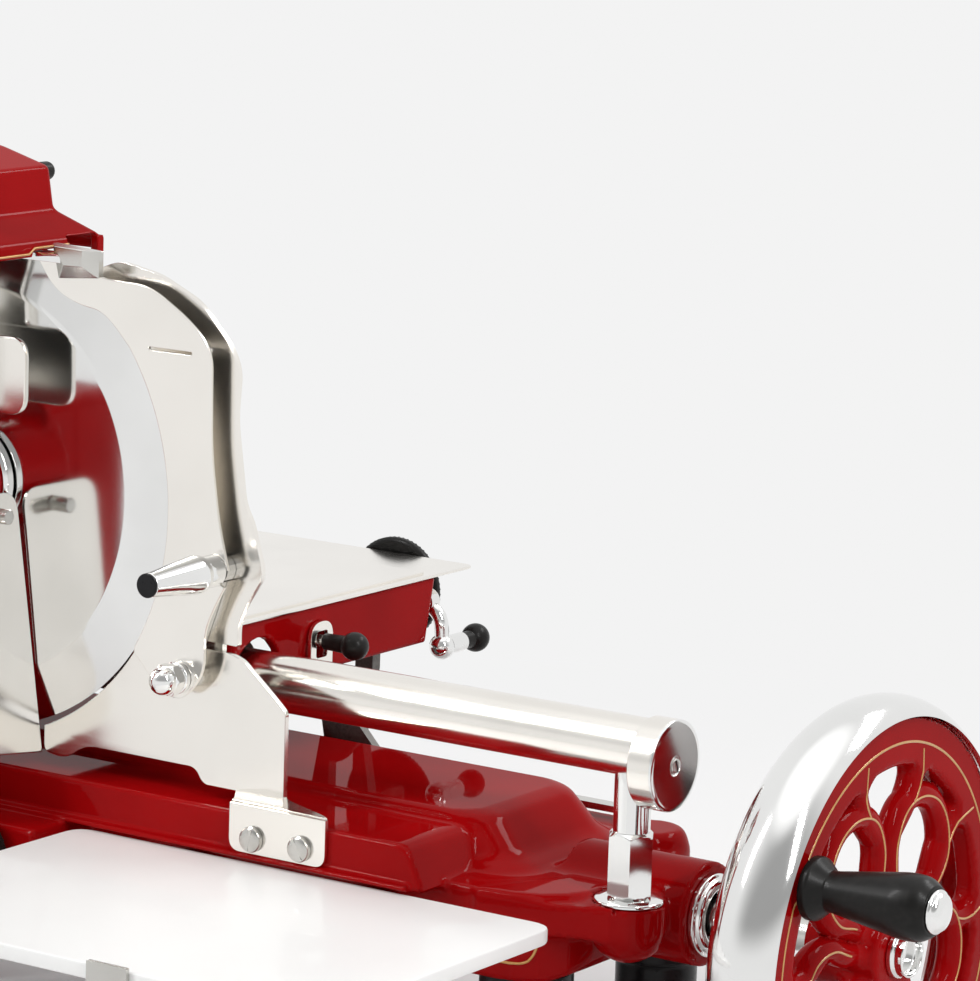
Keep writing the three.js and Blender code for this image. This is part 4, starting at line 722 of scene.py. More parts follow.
def soft_least(a: np.ndarray, b: np.ndarray, blend: float) -> np.ndarray:
    """The lesser of two depths, with a fillet where they meet.

    Args:
        a: a depth.
        b: another depth.
        blend: the fillet's size.

    Returns:
        The lesser depth.
    """
    if blend <= 0:
        return np.minimum(a, b)
    near = np.maximum(blend - np.abs(a - b), 0) / blend
    return np.minimum(a, b) - near * near * blend / 4


def gap_squared(u: np.ndarray, v: np.ndarray, start: Point, end: Point) -> np.ndarray:
    """The squared distance from places to a straight piece.

    Args:
        u: places along the first coordinate.
        v: places along the second coordinate.
        start: where the piece starts.
        end: where it ends.

    Returns:
        The squared distance.
    """
    ax, ay = start
    ex, ey = end[0] - ax, end[1] - ay
    share = np.clip(((u - ax) * ex + (v - ay) * ey) / (ex * ex + ey * ey), 0, 1)
    return (u - ax - share * ex) ** 2 + (v - ay - share * ey) ** 2


def outline_depth(outline: Sequence[Point]) -> Callable[[np.ndarray, np.ndarray], np.ndarray]:
    """The distance to an outline on two coordinates, negative inside.

    Args:
        outline: the outline's corners on two coordinates.

    Returns:
        What measures it at places on the two coordinates.
    """
    corners = np.array([p[:2] for p in outline], float)
    sides = list(zip(corners, np.roll(corners, -1, 0)))

    def measure(u: np.ndarray, v: np.ndarray) -> np.ndarray:
        """Measures it at u, v.

        Args:
            u: places along the first coordinate.
            v: places along the second coordinate.

        Returns:
            The distance.
        """
        best, inside = np.inf, np.zeros(np.broadcast_shapes(np.shape(u), np.shape(v)), bool)
        for (ax, ay), (bx, by) in sides:
            best = np.minimum(best, gap_squared(u, v, (ax, ay), (bx, by)))
            if abs(by - ay) > 1e-9:
                crossing = ((ay > v) != (by > v)) & (u < (bx - ax) * (v - ay) / (by - ay) + ax)
                inside = inside ^ crossing
        return np.where(inside, -1, 1) * np.sqrt(best)

    return measure


def split(axis: str, x: np.ndarray, y: np.ndarray, z: np.ndarray) -> tuple:
    """The other two coordinates in their usual order, then the one along the axis."""
    return {"x": (y, z, x), "y": (x, z, y), "z": (x, y, z)}[axis]


def met(edge: Union[float, np.ndarray], *depths: np.ndarray) -> np.ndarray:
    """Where depths are all inside, with a rounded edge.

    Args:
        edge: the rounding of the edge between them.
        depths: the depths.

    Returns:
        The depth of what they share.
    """
    raised = [depth + edge for depth in depths]
    outside = np.sqrt(sum(np.maximum(depth, 0) ** 2 for depth in raised))
    return outside + np.minimum(reduce(np.maximum, raised), 0) - edge


def past(place: np.ndarray, low: Value, high: Value) -> np.ndarray:
    """How far a coordinate is past a span, negative within it."""
    return np.abs(place - (low + high) / 2) - (high - low) / 2


@dataclass(frozen=True)
class Form:
    """A solid given by its depth field, negative inside."""

    depth: Depth

    def joined(self, other: "Form", blend: float = 0.0) -> "Form":
        """Both solids, with a fillet."""
        return Form(lambda x, y, z: soft_least(self.depth(x, y, z), other.depth(x, y, z),
                                               blend))

    def without(self, other: "Form", blend: float = 0.0) -> "Form":
        """This solid less the other."""
        return Form(lambda x, y, z: -soft_least(-self.depth(x, y, z), other.depth(x, y, z),
                                                blend))

    def within(self, other: "Form", edge: float = 0.0) -> "Form":
        """What both solids hold, with a rounded edge."""
        return Form(lambda x, y, z: met(edge, self.depth(x, y, z), other.depth(x, y, z)))

    def lean(self, spots: np.ndarray, step: float = 0.05) -> np.ndarray:
        """The field's slope at points.

        Args:
            spots: the points, one to a row.
            step: how far apart it is measured, in millimetres.

        Returns:
            The slope at each point.
        """
        ways = []
        for k in range(3):
            shift = np.zeros(3)
            shift[k] = step
            ways.append((self.depth(*(spots + shift).T) - self.depth(*(spots - shift).T))
                        / (2 * step))
        return np.stack(ways, 1)

    def dropped(self, spots: np.ndarray, tries: int = 5, most: float = 8.0) -> np.ndarray:
        """Points moved onto the surface.

        Args:
            spots: the points, one to a row.
            tries: how often they are moved.
            most: the farthest that they move at one try.

        Returns:
            The moved points.
        """
        made = np.array(spots, float)
        for _ in range(tries):
            lean = self.lean(made)
            step = self.depth(*made.T)[:, None] * lean
            step /= np.maximum((lean ** 2).sum(1), 1e-6)[:, None]
            length = np.linalg.norm(step, axis=1)[:, None]
            made -= step * np.minimum(1, most / np.maximum(length, 1e-9))
        return made

    def skinned(self, low: Point, high: Point, cell: float) -> Shape:
        """Makes the surface's mesh.

        Args:
            low: the lowest corner of the space it is in.
            high: the highest corner.
            cell: the size of one face.

        Returns:
            The mesh, with the field's own normals.
        """
        sides = [np.arange(a - cell * 1.5, b + cell * 2.5, cell) for a, b in zip(low, high)]
        grid = np.meshgrid(*sides, indexing="ij", sparse=True)
        depth = np.broadcast_to(self.depth(*grid), [len(side) for side in sides])
        inside = depth < 0
        corners = [(i, j, k) for i in (0, 1) for j in (0, 1) for k in (0, 1)]

        def part(values: np.ndarray, corner: tuple) -> np.ndarray:
            """The values at one corner of every cell."""
            return values[tuple(slice(c, n - 1 + c) for c, n in zip(corner, values.shape))]

        total = sum(part(inside, corner).astype(np.int8) for corner in corners)
        mixed = (total > 0) & (total < 8)
        cells = np.argwhere(mixed)
        number = np.full(mixed.shape, -1)
        number[mixed] = np.arange(len(cells))
        held = np.stack([part(depth, corner)[mixed] for corner in corners], 1)
        spots, weight = np.zeros((len(cells), 3)), np.zeros(len(cells))
        for a in range(8):
            for b in range(a + 1, 8):
                step = np.subtract(corners[b], corners[a])
                if np.abs(step).sum() != 1:
                    continue
                cut = (held[:, a] < 0) != (held[:, b] < 0)
                share = held[:, a] / np.where(cut, held[:, a] - held[:, b], 1)
                spots += np.where(cut[:, None], corners[a] + share[:, None] * step, 0)
                weight += cut
        start = np.array([side[0] for side in sides])
        rough = start + (cells + spots / weight[:, None]) * cell
        made = rough.copy()
        for _ in range(3):
            made = self.dropped(made, 1, cell * 0.5)
            made = rough + np.clip(made - rough, -cell * 0.6, cell * 0.6)
        faces = []
        for axis in range(3):
            u, v = (axis + 1) % 3, (axis + 2) % 3
            here = [slice(None)] * 3
            there = [slice(None)] * 3
            here[axis], there[axis] = slice(None, -1), slice(1, None)
            a, b = inside[tuple(here)], inside[tuple(there)]
            for low_in in (True, False):
                found = np.argwhere((a == low_in) & (b != low_in))
                ring = []
                for du, dv in ((0, 0), (-1, 0), (-1, -1), (0, -1)):
                    spot = found.copy()
                    spot[:, u] += du
                    spot[:, v] += dv
                    ring.append(number[tuple(spot.T)])
                quad = np.stack(ring if low_in else ring[::-1], 1)
                faces.append(quad[(quad >= 0).all(1)])
        lean = self.lean(made)
        lean /= np.maximum(np.linalg.norm(lean, axis=1), 1e-9)[:, None]
        return Shape(made, np.vstack(faces).tolist(), lean)


def prism_form(axis: str, outline: Sequence[Point], low: float, high: float,
               edge: float = 0.0) -> Form:
    """A plate of an outline as a form.

    Args:
        axis: the axis across its thickness.
        outline: the outline's corners on two coordinates.
        low: its lower face.
        high: its upper face.
        edge: the rounding of its edges.

    Returns:
        The form.
    """
    flat = outline_depth(outline)

    def depth(x: np.ndarray, y: np.ndarray, z: np.ndarray) -> np.ndarray:
        """Measures the plate."""
        u, v, w = split(axis, x, y, z)
        return met(edge, flat(u, v), past(w, low, high))

    return Form(depth)


def bar_form(axis: str, radius: float, low: float, high: float, middle: Point,
             edge: float = 0.0) -> Form:
    """A round bar as a form.

    Args:
        axis: the axis it lies along.
        radius: its radius.
        low: where it starts along the axis.
        high: where it ends along the axis.
        middle: where the axis stands on the other two coordinates.
        edge: the rounding of its ends.

    Returns:
        The form.
    """

    def depth(x: np.ndarray, y: np.ndarray, z: np.ndarray) -> np.ndarray:
        """Measures the bar."""
        u, v, w = split(axis, x, y, z)
        return met(edge, np.hypot(u - middle[0], v - middle[1]) - radius, past(w, low, high))

    return Form(depth)


def spun_form(axis: str, profile: Sequence[Point], middle: Point) -> Form:
    """A turned solid as a form, from an outline of radius and place pairs.

    Args:
        axis: the axis it spins about.
        profile: pairs of radius and place along the axis.
        middle: where the axis stands on the other two coordinates.

    Returns:
        The form.
    """
    flat = outline_depth([(-60.0 if p[0] <= 0 else p[0], p[1]) for p in profile])

    def depth(x: np.ndarray, y: np.ndarray, z: np.ndarray) -> np.ndarray:
        """Measures the solid."""
        u, v, w = split(axis, x, y, z)
        return flat(np.hypot(u - middle[0], v - middle[1]), w)

    return Form(depth)


def block_form(x_span: Point, y_span: Point, z_span: Point, edge: float = 0.0) -> Form:
    """A block with rounded edges as a form.

    Args:
        x_span: its least and most X.
        y_span: its least and most Y.
        z_span: its least and most Z.
        edge: the rounding of its edges.

    Returns:
        The form.
    """
    spans = (x_span, y_span, z_span)

    def depth(x: np.ndarray, y: np.ndarray, z: np.ndarray) -> np.ndarray:
        """Measures the block."""
        return met(edge, *(past(place, *span) for place, span in zip((x, y, z), spans)))

    return Form(depth)


def heap_form(levels: Sequence[Sequence[float]], edge: float = 2.0) -> Form:
    """A solid of level oblongs that change with height.

    Args:
        levels: rows of height, least x, most x, least y, most y and corner radius.
        edge: the rounding of its top and bottom edges.

    Returns:
        The form.
    """
    rows = np.array(sorted(levels), float)

    def depth(x: np.ndarray, y: np.ndarray, z: np.ndarray) -> np.ndarray:
        """Measures the solid.

        Args:
            x: places along X.
            y: places along Y.
            z: places along Z.

        Returns:
            The depth.
        """
        x0, x1, y0, y1, corner = (np.interp(z, rows[:, 0], rows[:, k]) for k in range(1, 6))
        flat = met(corner, past(x, x0, x1), past(y, y0, y1))
        return met(edge, flat, past(z, rows[0, 0], rows[-1, 0]))

    return Form(depth)


def wire_form(paths: Sequence[np.ndarray], place: float, radius: float) -> Form:
    """Round bars along flat paths on Y and Z at one X, as a form.

    Args:
        paths: each bar's points on Y and Z.
        place: the bars' X.
        radius: its radius.

    Returns:
        The form.
    """
    pieces = [(a, b) for path in paths for a, b in zip(path[:-1], path[1:])]

    def depth(x: np.ndarray, y: np.ndarray, z: np.ndarray) -> np.ndarray:
        """Measures the bars.

        Args:
            x: places along X.
            y: places along Y.
            z: places along Z.

        Returns:
            The depth.
        """
        best = np.inf
        for start, end in pieces:
            best = np.minimum(best, gap_squared(y, z, start, end))
        return np.sqrt(best + (x - place) ** 2) - radius

    return Form(depth)


# Patterns made by geometry nodes

class Pattern:
    """A geometry node tree with named inputs."""

    def __init__(self, name: str, inputs: dict) -> None:
        """Starts the tree.

        Args:
            name: the tree's name.
            inputs: socket types by label.
        """
        self.tree = bpy.data.node_groups.new(name, "GeometryNodeTree")
        self.graph = Graph(self.tree)
        self.keys = {}
        for label, kind in {"Geometry": "NodeSocketGeometry", **inputs,
                            "Finish": "NodeSocketMaterial"}.items():
            item = self.tree.interface.new_socket(name=label, in_out="INPUT",
                                                  socket_type=kind)
            self.keys[label] = item.identifier
        self.tree.interface.new_socket(name="Geometry", in_out="OUTPUT",
                                       socket_type="NodeSocketGeometry")
        self.entry = self.tree.nodes.new("NodeGroupInput")

    def value(self, label: str) -> Wire:
        """A named input."""
        return self.graph.out(self.entry, label)

    def step(self, kind: str, values: Optional[dict] = None,
             settings: Optional[dict] = None, key: Union[int, str] = 0) -> Wire:
        """Adds a node and returns one of its outputs."""
        return self.graph.out(self.graph.add(kind, settings, values), key)

    def close(self, geometry: Wire) -> "Pattern":
        """Ends the tree in Realize Instances and Set Material.

        Args:
            geometry: what the tree has made.

        Returns:
            The pattern itself.
        """
        real = self.step("GeometryNodeRealizeInstances", {0: geometry})
        smooth = self.step("GeometryNodeSetShadeSmooth", {0: real})
        dressed = self.step("GeometryNodeSetMaterial", {
            "Geometry": smooth, "Material": self.value("Finish")})
        leave = self.tree.nodes.new("NodeGroupOutput")
        self.graph.feed(leave.inputs[0], dressed)
        return self

    def made(self, carrier: bpy.types.Object, values: dict) -> bpy.types.Mesh:
        """Runs the tree on a carrier and returns a plain mesh.

        Args:
            carrier: the object whose mesh the tree starts from.
            values: the tree's inputs by label.

        Returns:
            The mesh.
        """
        modifier = carrier.modifiers.new("pattern", "NODES")
        modifier.node_group = self.tree
        for label, value in values.items():
            modifier[self.keys[label]] = value
        bpy.context.view_layer.update()
        graph = bpy.context.evaluated_depsgraph_get()
        mesh = bpy.data.meshes.new_from_object(carrier.evaluated_get(graph))
        carrier.modifiers.remove(modifier)
        return mesh


def copies_round() -> Pattern:
    """Copies of a part round an axis.

    Returns:
        The pattern.
    """
    made = Pattern("copies_round", {
        "Part": "NodeSocketObject", "Count": "NodeSocketInt", "Step": "NodeSocketFloat",
        "Start": "NodeSocketFloat", "Turn": "NodeSocketVector", "Middle": "NodeSocketVector"})
    line = made.step("GeometryNodeMeshLine", {
        "Count": made.value("Count"), "Offset": (0.0, 0.0, 0.0)})
    part = made.step("GeometryNodeObjectInfo", {"Object": made.value("Part")}, key="Geometry")
    index = made.step("GeometryNodeInputIndex")
    angle = index * made.value("Step") + made.value("Start")
    way = made.step("ShaderNodeCombineXYZ", {"Z": angle})
    copies = made.step("GeometryNodeInstanceOnPoints", {
        "Points": line, "Instance": part, "Rotation": way})
    placed = made.step("GeometryNodeTransform", {
        "Geometry": copies, "Rotation": made.value("Turn"),
        "Translation": made.value("Middle")})
    return made.close(placed)


def copies_in_rows() -> Pattern:
    """Copies of a part in rows.

    Returns:
        The pattern.
    """
    made = Pattern("copies_in_rows", {
        "Part": "NodeSocketObject", "Along": "NodeSocketInt", "Across": "NodeSocketInt",
        "Step Along": "NodeSocketVector", "Step Across": "NodeSocketVector",
        "Start": "NodeSocketVector"})
    first = made.step("GeometryNodeMeshLine", {
        "Count": made.value("Along"), "Offset": made.value("Step Along"),
        "Start Location": made.value("Start")})
    second = made.step("GeometryNodeMeshLine", {
        "Count": made.value("Across"), "Offset": made.value("Step Across")})
    grid = made.step("GeometryNodeRealizeInstances", {
        0: made.step("GeometryNodeInstanceOnPoints", {"Points": first, "Instance": second})})
    part = made.step("GeometryNodeObjectInfo", {"Object": made.value("Part")}, key="Geometry")
    return made.close(made.step("GeometryNodeInstanceOnPoints", {
        "Points": grid, "Instance": part}))


def bead_on_path() -> Pattern:
    """A fine bead along the carrier's own path.

    Returns:
        The pattern.
    """
    made = Pattern("bead_on_path", {"Width": "NodeSocketFloat", "Sides": "NodeSocketInt"})
    curve = made.step("GeometryNodeMeshToCurve", {"Mesh": made.value("Geometry")})
    circle = made.step("GeometryNodeCurvePrimitiveCircle", {
        "Resolution": made.value("Sides"), "Radius": made.value("Width")})
    return made.close(made.step("GeometryNodeCurveToMesh", {
        "Curve": curve, "Profile Curve": circle, "Fill Caps": True}))


def links_on_path() -> Pattern:
    """Copies of a link along the carrier's own path, each turned with it.

    Returns:
        The pattern.
    """
    made = Pattern("links_on_path", {"Part": "NodeSocketObject", "Count": "NodeSocketInt"})
    curve = made.step("GeometryNodeMeshToCurve", {"Mesh": made.value("Geometry")})
    spots = made.step("GeometryNodeResampleCurve", {
        "Curve": curve, "Count": made.value("Count")})
    tangent = made.step("GeometryNodeInputTangent")
    turn = made.step("FunctionNodeAlignRotationToVector", {"Vector": tangent},
                     {"axis": "X", "pivot_axis": "Y"})
    part = made.step("GeometryNodeObjectInfo", {"Object": made.value("Part")}, key="Geometry")
    return made.close(made.step("GeometryNodeInstanceOnPoints", {
        "Points": spots, "Instance": part, "Rotation": turn}))


# The workshop

class Workshop:
    """Makes the object's pieces, dresses them and puts them on their bodies."""

    def __init__(self, frame: dict) -> None:
        """Finds the blade's place and makes the materials.
        """
        record = frame["record"]
        low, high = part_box("blade")
        self.nodes = frame["nodes"]
        self.origin = np.array([(low.x + high.x) / 2, low.y + MM, (low.z + high.z) / 2])
        self.paints = {slot: finish.material() for slot, finish in FINISHES.items()}
        self.slots = {part["node"]: Slot(part["material_slot"])
                      for part in record["subparts"]}
        self.homes = {node: body for body, nodes in record["behaviour"]["bodies"].items()
                      for node in nodes}
        self.trees = {"round": copies_round(), "rows": copies_in_rows(),
                      "bead": bead_on_path(), "links": links_on_path()}
        self.shown: set[str] = set()

    def mesh(self, name: str, shape: Shape, bend: float, placed: bool = True) -> bpy.types.Mesh:
        """Makes a mesh of a shape, smooth but for edges above an angle.

        Args:
            name: the mesh's name.
            shape: what it is made of.
            bend: the angle above which an edge stays sharp.
            placed: True if it is measured from the blade.

        Returns:
            The mesh.
        """
        mesh = bpy.data.meshes.new(name)
        spots = shape.spots * MM + (self.origin if placed else 0.0)
        mesh.from_pydata(spots.tolist(), [], shape.faces)
        if shape.normals is None:
            work = bmesh.new()
            work.from_mesh(mesh)
            bmesh.ops.remove_doubles(work, verts=work.verts, dist=0.01 * MM)
            bmesh.ops.recalc_face_normals(work, faces=work.faces)
            work.to_mesh(mesh)
            work.free()
        mesh.shade_smooth()
        if shape.normals is None:
            mesh.set_sharp_from_angle(angle=math.radians(bend))
        else:
            mesh.normals_split_custom_set_from_vertices(shape.normals.tolist())
        return mesh

    def piece(self, name: str, shape: Shape, *nodes: str, slot: Optional[Slot] = None,
              body: Optional[str] = None, bend: float = 28.0) -> bpy.types.Object:
        """Makes one piece.

        Args:
            name: the piece's name.
            shape: its mesh.
            nodes: the CAD nodes it stands for.
            slot: its material slot, by default its first node's.
            body: the body it rides on, by default its first node's.
            bend: the angle above which an edge stays sharp.

        Returns:
            The object.
        """
        mesh = self.mesh(name, shape, bend)
        made = self.dress(mesh, *nodes, slot=slot, body=body)
        if shape.normals is None:
            weigh = made.modifiers.new("weights", "WEIGHTED_NORMAL")
            weigh.keep_sharp = True
        return made

    def dress(self, mesh: bpy.types.Mesh, *nodes: str, slot: Optional[Slot] = None,
              body: Optional[str] = None) -> bpy.types.Object:
        """Puts a mesh in the scene as a piece, with its material and its body.

        Args:
            mesh: the mesh, which gives the piece its name.
            nodes: the CAD nodes it stands for.
            slot: its material slot, by default its first node's.
            body: the body it rides on, by default its first node's.

        Returns:
            The object.
        """
        slot = slot or self.slots[nodes[0]]
        mesh.materials.clear()
        mesh.materials.append(self.paints[slot])
        made = bpy.data.objects.new(mesh.name, mesh)
        bpy.context.scene.collection.objects.link(made)
        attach(made, body or self.homes[nodes[0]])
        if nodes:
            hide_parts(*nodes)
            self.shown.update(nodes)
        log.info("%s: %d faces, %s", made.name, len(mesh.polygons), slot.value)
        return made

    def pattern(self, name: str, tree: str, values: dict, slot: Slot, body: str,
                part: Optional[Shape] = None, path: Optional[Sequence[Point]] = None,
                closed: bool = False) -> bpy.types.Object:
        """Makes a piece by a geometry node tree.

        Args:
            name: the piece's name.
            tree: the tree's short name.
            values: its inputs, with lengths in metres.
            slot: the piece's material slot.
            body: the body it rides on.
            part: what is copied.
            path: the points the tree follows, in millimetres.
            closed: True if the path is a loop.

        Returns:
            The object.
        """
        collection = bpy.context.scene.collection
        carrier_mesh = bpy.data.meshes.new("carrier")
        spots = np.array(path if path is not None else [(0, 0, 0)], float) * MM
        count = len(spots)
        pairs = [(i, (i + 1) % count) for i in range(count if closed else count - 1)]
        carrier_mesh.from_pydata(spots.tolist(), pairs, [])
        carrier = bpy.data.objects.new("carrier", carrier_mesh)
        collection.objects.link(carrier)
        sample = None
        values = {**values, "Finish": self.paints[slot]}
        if part is not None:
            sample = bpy.data.objects.new("sample", self.mesh("sample", part, 30.0, False))
            collection.objects.link(sample)
            values["Part"] = sample
        mesh = self.trees[tree].made(carrier, values)
        mesh.name = name
        mesh.transform(Matrix.Translation(self.origin))
        for spare in filter(None, (carrier, sample)):
            bpy.data.objects.remove(spare)
        return self.dress(mesh, slot=slot, body=body)

    def keep_rest(self) -> None:
        """Gives every CAD node that is still shown its finish."""
        for name, node in self.nodes.items():
            if name in self.shown:
                continue
            slot = self.slots[name]
            node.data.materials.clear()
            node.data.materials.append(self.paints[slot])
            log.info("%s: kept from the frame, %s", name, slot.value)


@dataclass
class Assembly:
    """A sub-assembly, made in a workshop."""

    shop: Workshop

    def build(self) -> None:
        """Makes its pieces."""
        raise NotImplementedError(type(self).__name__)

    def piece(self, name: str, shape: Shape, *nodes: str,
              **settings: object) -> bpy.types.Object:
        """Makes one piece in the workshop."""
        return self.shop.piece(name, shape, *nodes, **settings)

    def pattern(self, name: str, tree: str, values: dict, slot: Slot, body: str,
                **settings: object) -> bpy.types.Object:
        """Makes one piece by a geometry node tree in the workshop."""
        return self.shop.pattern(name, tree, values, slot, body, **settings)

    def turned(self, name: str, axis: str, profile: Sequence[Point], middle: Point, count: int,
               *nodes: str, steps: int = 5, ring: bool = False,
               **settings: object) -> bpy.types.Object:
        """Makes one turned piece with eased corners."""
        shape = lathe(axis, eased(profile, 0, steps, closed=ring), middle, count, ring)
        return self.piece(name, shape, *nodes, **settings)

    def gold_line(self, name: str, width: float, body: str, path: Sequence[Point],
                  closed: bool = False) -> bpy.types.Object:
        """Makes a gold line along a path."""
        return self.pattern(name, "bead", {"Width": width * MM, "Sides": 8}, Slot.GOLD, body,
                            path=path, closed=closed)

    def copies(self, name: str, part: Shape, count: int, turn: Point, place: Point,
               slot: Slot, body: str, start: float = 0.0,
               full: Optional[int] = None) -> bpy.types.Object:
        """Makes copies of a part round an axis.

        Args:
            name: the piece's name.
            part: what is copied, set out from the Z axis.
            count: the number of copies.
            turn: how the whole is turned about X, Y and Z.
            place: where it is put, in millimetres.
            slot: its material slot.
            body: the body it rides on.
            start: the first copy's angle in radians.
            full: how many copies would fill a turn, by default their number.

        Returns:
            The object.
        """
        return self.pattern(name, "round", {
            "Count": count, "Step": math.tau / (full or count), "Start": start, "Turn": turn,
            "Middle": tuple(length * MM for length in place)}, slot, body, part=part)


def scaled(shares: Sequence[Sequence[float]], size: float) -> list:
    """Shares of a size as lengths."""
    return [tuple(share * size for share in row) for row in shares]


def round_bar(axis: str, radius: float, low: float, high: float, middle: Point = (0, 0),
              edge: float = 0.6, count: int = 64) -> Shape:
    """A solid round bar with eased ends.

    Args:
        axis: the axis it lies along.
        radius: its radius.
        low: where it starts along the axis.
        high: where it ends along the axis.
        middle: where the axis stands on the other two coordinates.
        edge: the size of its eased edges.
        count: the number of sides.

    Returns:
        The closed mesh.
    """
    return lathe(axis, [(0, low), (radius - edge, low), (radius - edge * 0.3, low + edge * 0.3),
                        (radius, low + edge), (radius, high - edge),
                        (radius - edge * 0.3, high - edge * 0.3), (radius - edge, high),
                        (0, high)], middle, count)


def sleeve(axis: str, inner: float, outer: float, low: float, high: float,
           middle: Point = (0, 0), edge: float = 0.5, count: int = 64) -> Shape:
    """A round bar with a bore and eased ends.

    Args:
        axis: the axis it lies along.
        inner: the bore's radius.
        outer: its outer radius.
        low: where it starts along the axis.
        high: where it ends along the axis.
        middle: where the axis stands on the other two coordinates.
        edge: the size of its eased edges.
        count: the number of sides.

    Returns:
        The closed mesh.
    """
    return lathe(axis, [(inner, low + edge), (inner + edge, low), (outer - edge, low),
                        (outer - edge * 0.3, low + edge * 0.3), (outer, low + edge),
                        (outer, high - edge), (outer - edge * 0.3, high - edge * 0.3),
                        (outer - edge, high), (inner + edge, high), (inner, high - edge)],
                 middle, count, ring=True)


def nut(axis: str, radius: float, low: float, high: float, middle: Point) -> Shape:
    """A hexagon with turned, rounded corners at its faces.

    Args:
        axis: the axis it lies along.
        radius: from its middle to a corner.
        low: where it starts along the axis.
        high: where it ends along the axis.
        middle: where the axis stands on the other two coordinates.

    Returns:
        The closed mesh.
    """
    rings = []
    count = 72
    angles = np.linspace(0, 2 * math.pi, count, endpoint=False)
    flat = radius * math.cos(math.pi / 6) / np.cos((angles % (math.pi / 3)) - math.pi / 6)
    fall = [(0.0, 0.80), (0.07, 0.868), (0.10, 0.90), (0.13, 0.935), (0.16, 0.97), (0.20, 1.0)]
    for place, limit in ([(low + radius * a, b) for a, b in fall]
                         + [(high - radius * a, b) for a, b in fall[::-1]]):
        reach = np.minimum(flat, radius * limit)
        rings.append(spread(axis, middle[0] + reach * np.cos(angles),
                            middle[1] + reach * np.sin(angles), np.full(count, place)))
    return loft(rings)


def slotted_head(axis: str, radius: float, face: float, back: float, middle: Point,
                 turn: float = 0.0) -> tuple[Shape, Shape]:
    """A round screw head and a thin plate laid on its face where the slot is; the callers paint
    the plate darker than the head, as painted shade for the slot's recess.

    Args:
        axis: the axis it lies along.
        radius: the head's radius.
        face: where its face is.
        back: where its back is.
        middle: where the axis stands on the other two coordinates.
        turn: the slot's angle in degrees.

    Returns:
        The head and the slot.
    """
    way = 1.0 if back > face else -1.0
    depth = abs(back - face)
    half = radius * 0.13
    count = 48
    spots = []
    for reach, rise in ((1.0, 1.0), (1.0, 0.55), (0.94, 0.28), (0.8, 0.1), (0.5, 0.0)):
        spots.append((radius * reach, face + way * depth * rise))
    head = lathe(axis, [(0, back)] + spots + [(0, face)], middle, count)
    # A flat plate a hair proud of the face, not a recess: its colour is painted shade for the
    # slot.
    slot_shade = slab(axis, [(middle[0] - half, middle[1] - radius * 0.86),
                         (middle[0] + half, middle[1] - radius * 0.86),
                         (middle[0] + half, middle[1] + radius * 0.86),
                         (middle[0] - half, middle[1] + radius * 0.86)],
                  *sorted((face - way * 0.06, face + way * 0.3)), 0.05)
    return head, slot_shade.turned(axis, turn, {"x": (0, *middle), "y": (middle[0], 0, middle[1]),
                                            "z": (*middle, 0)}[axis])


# The base

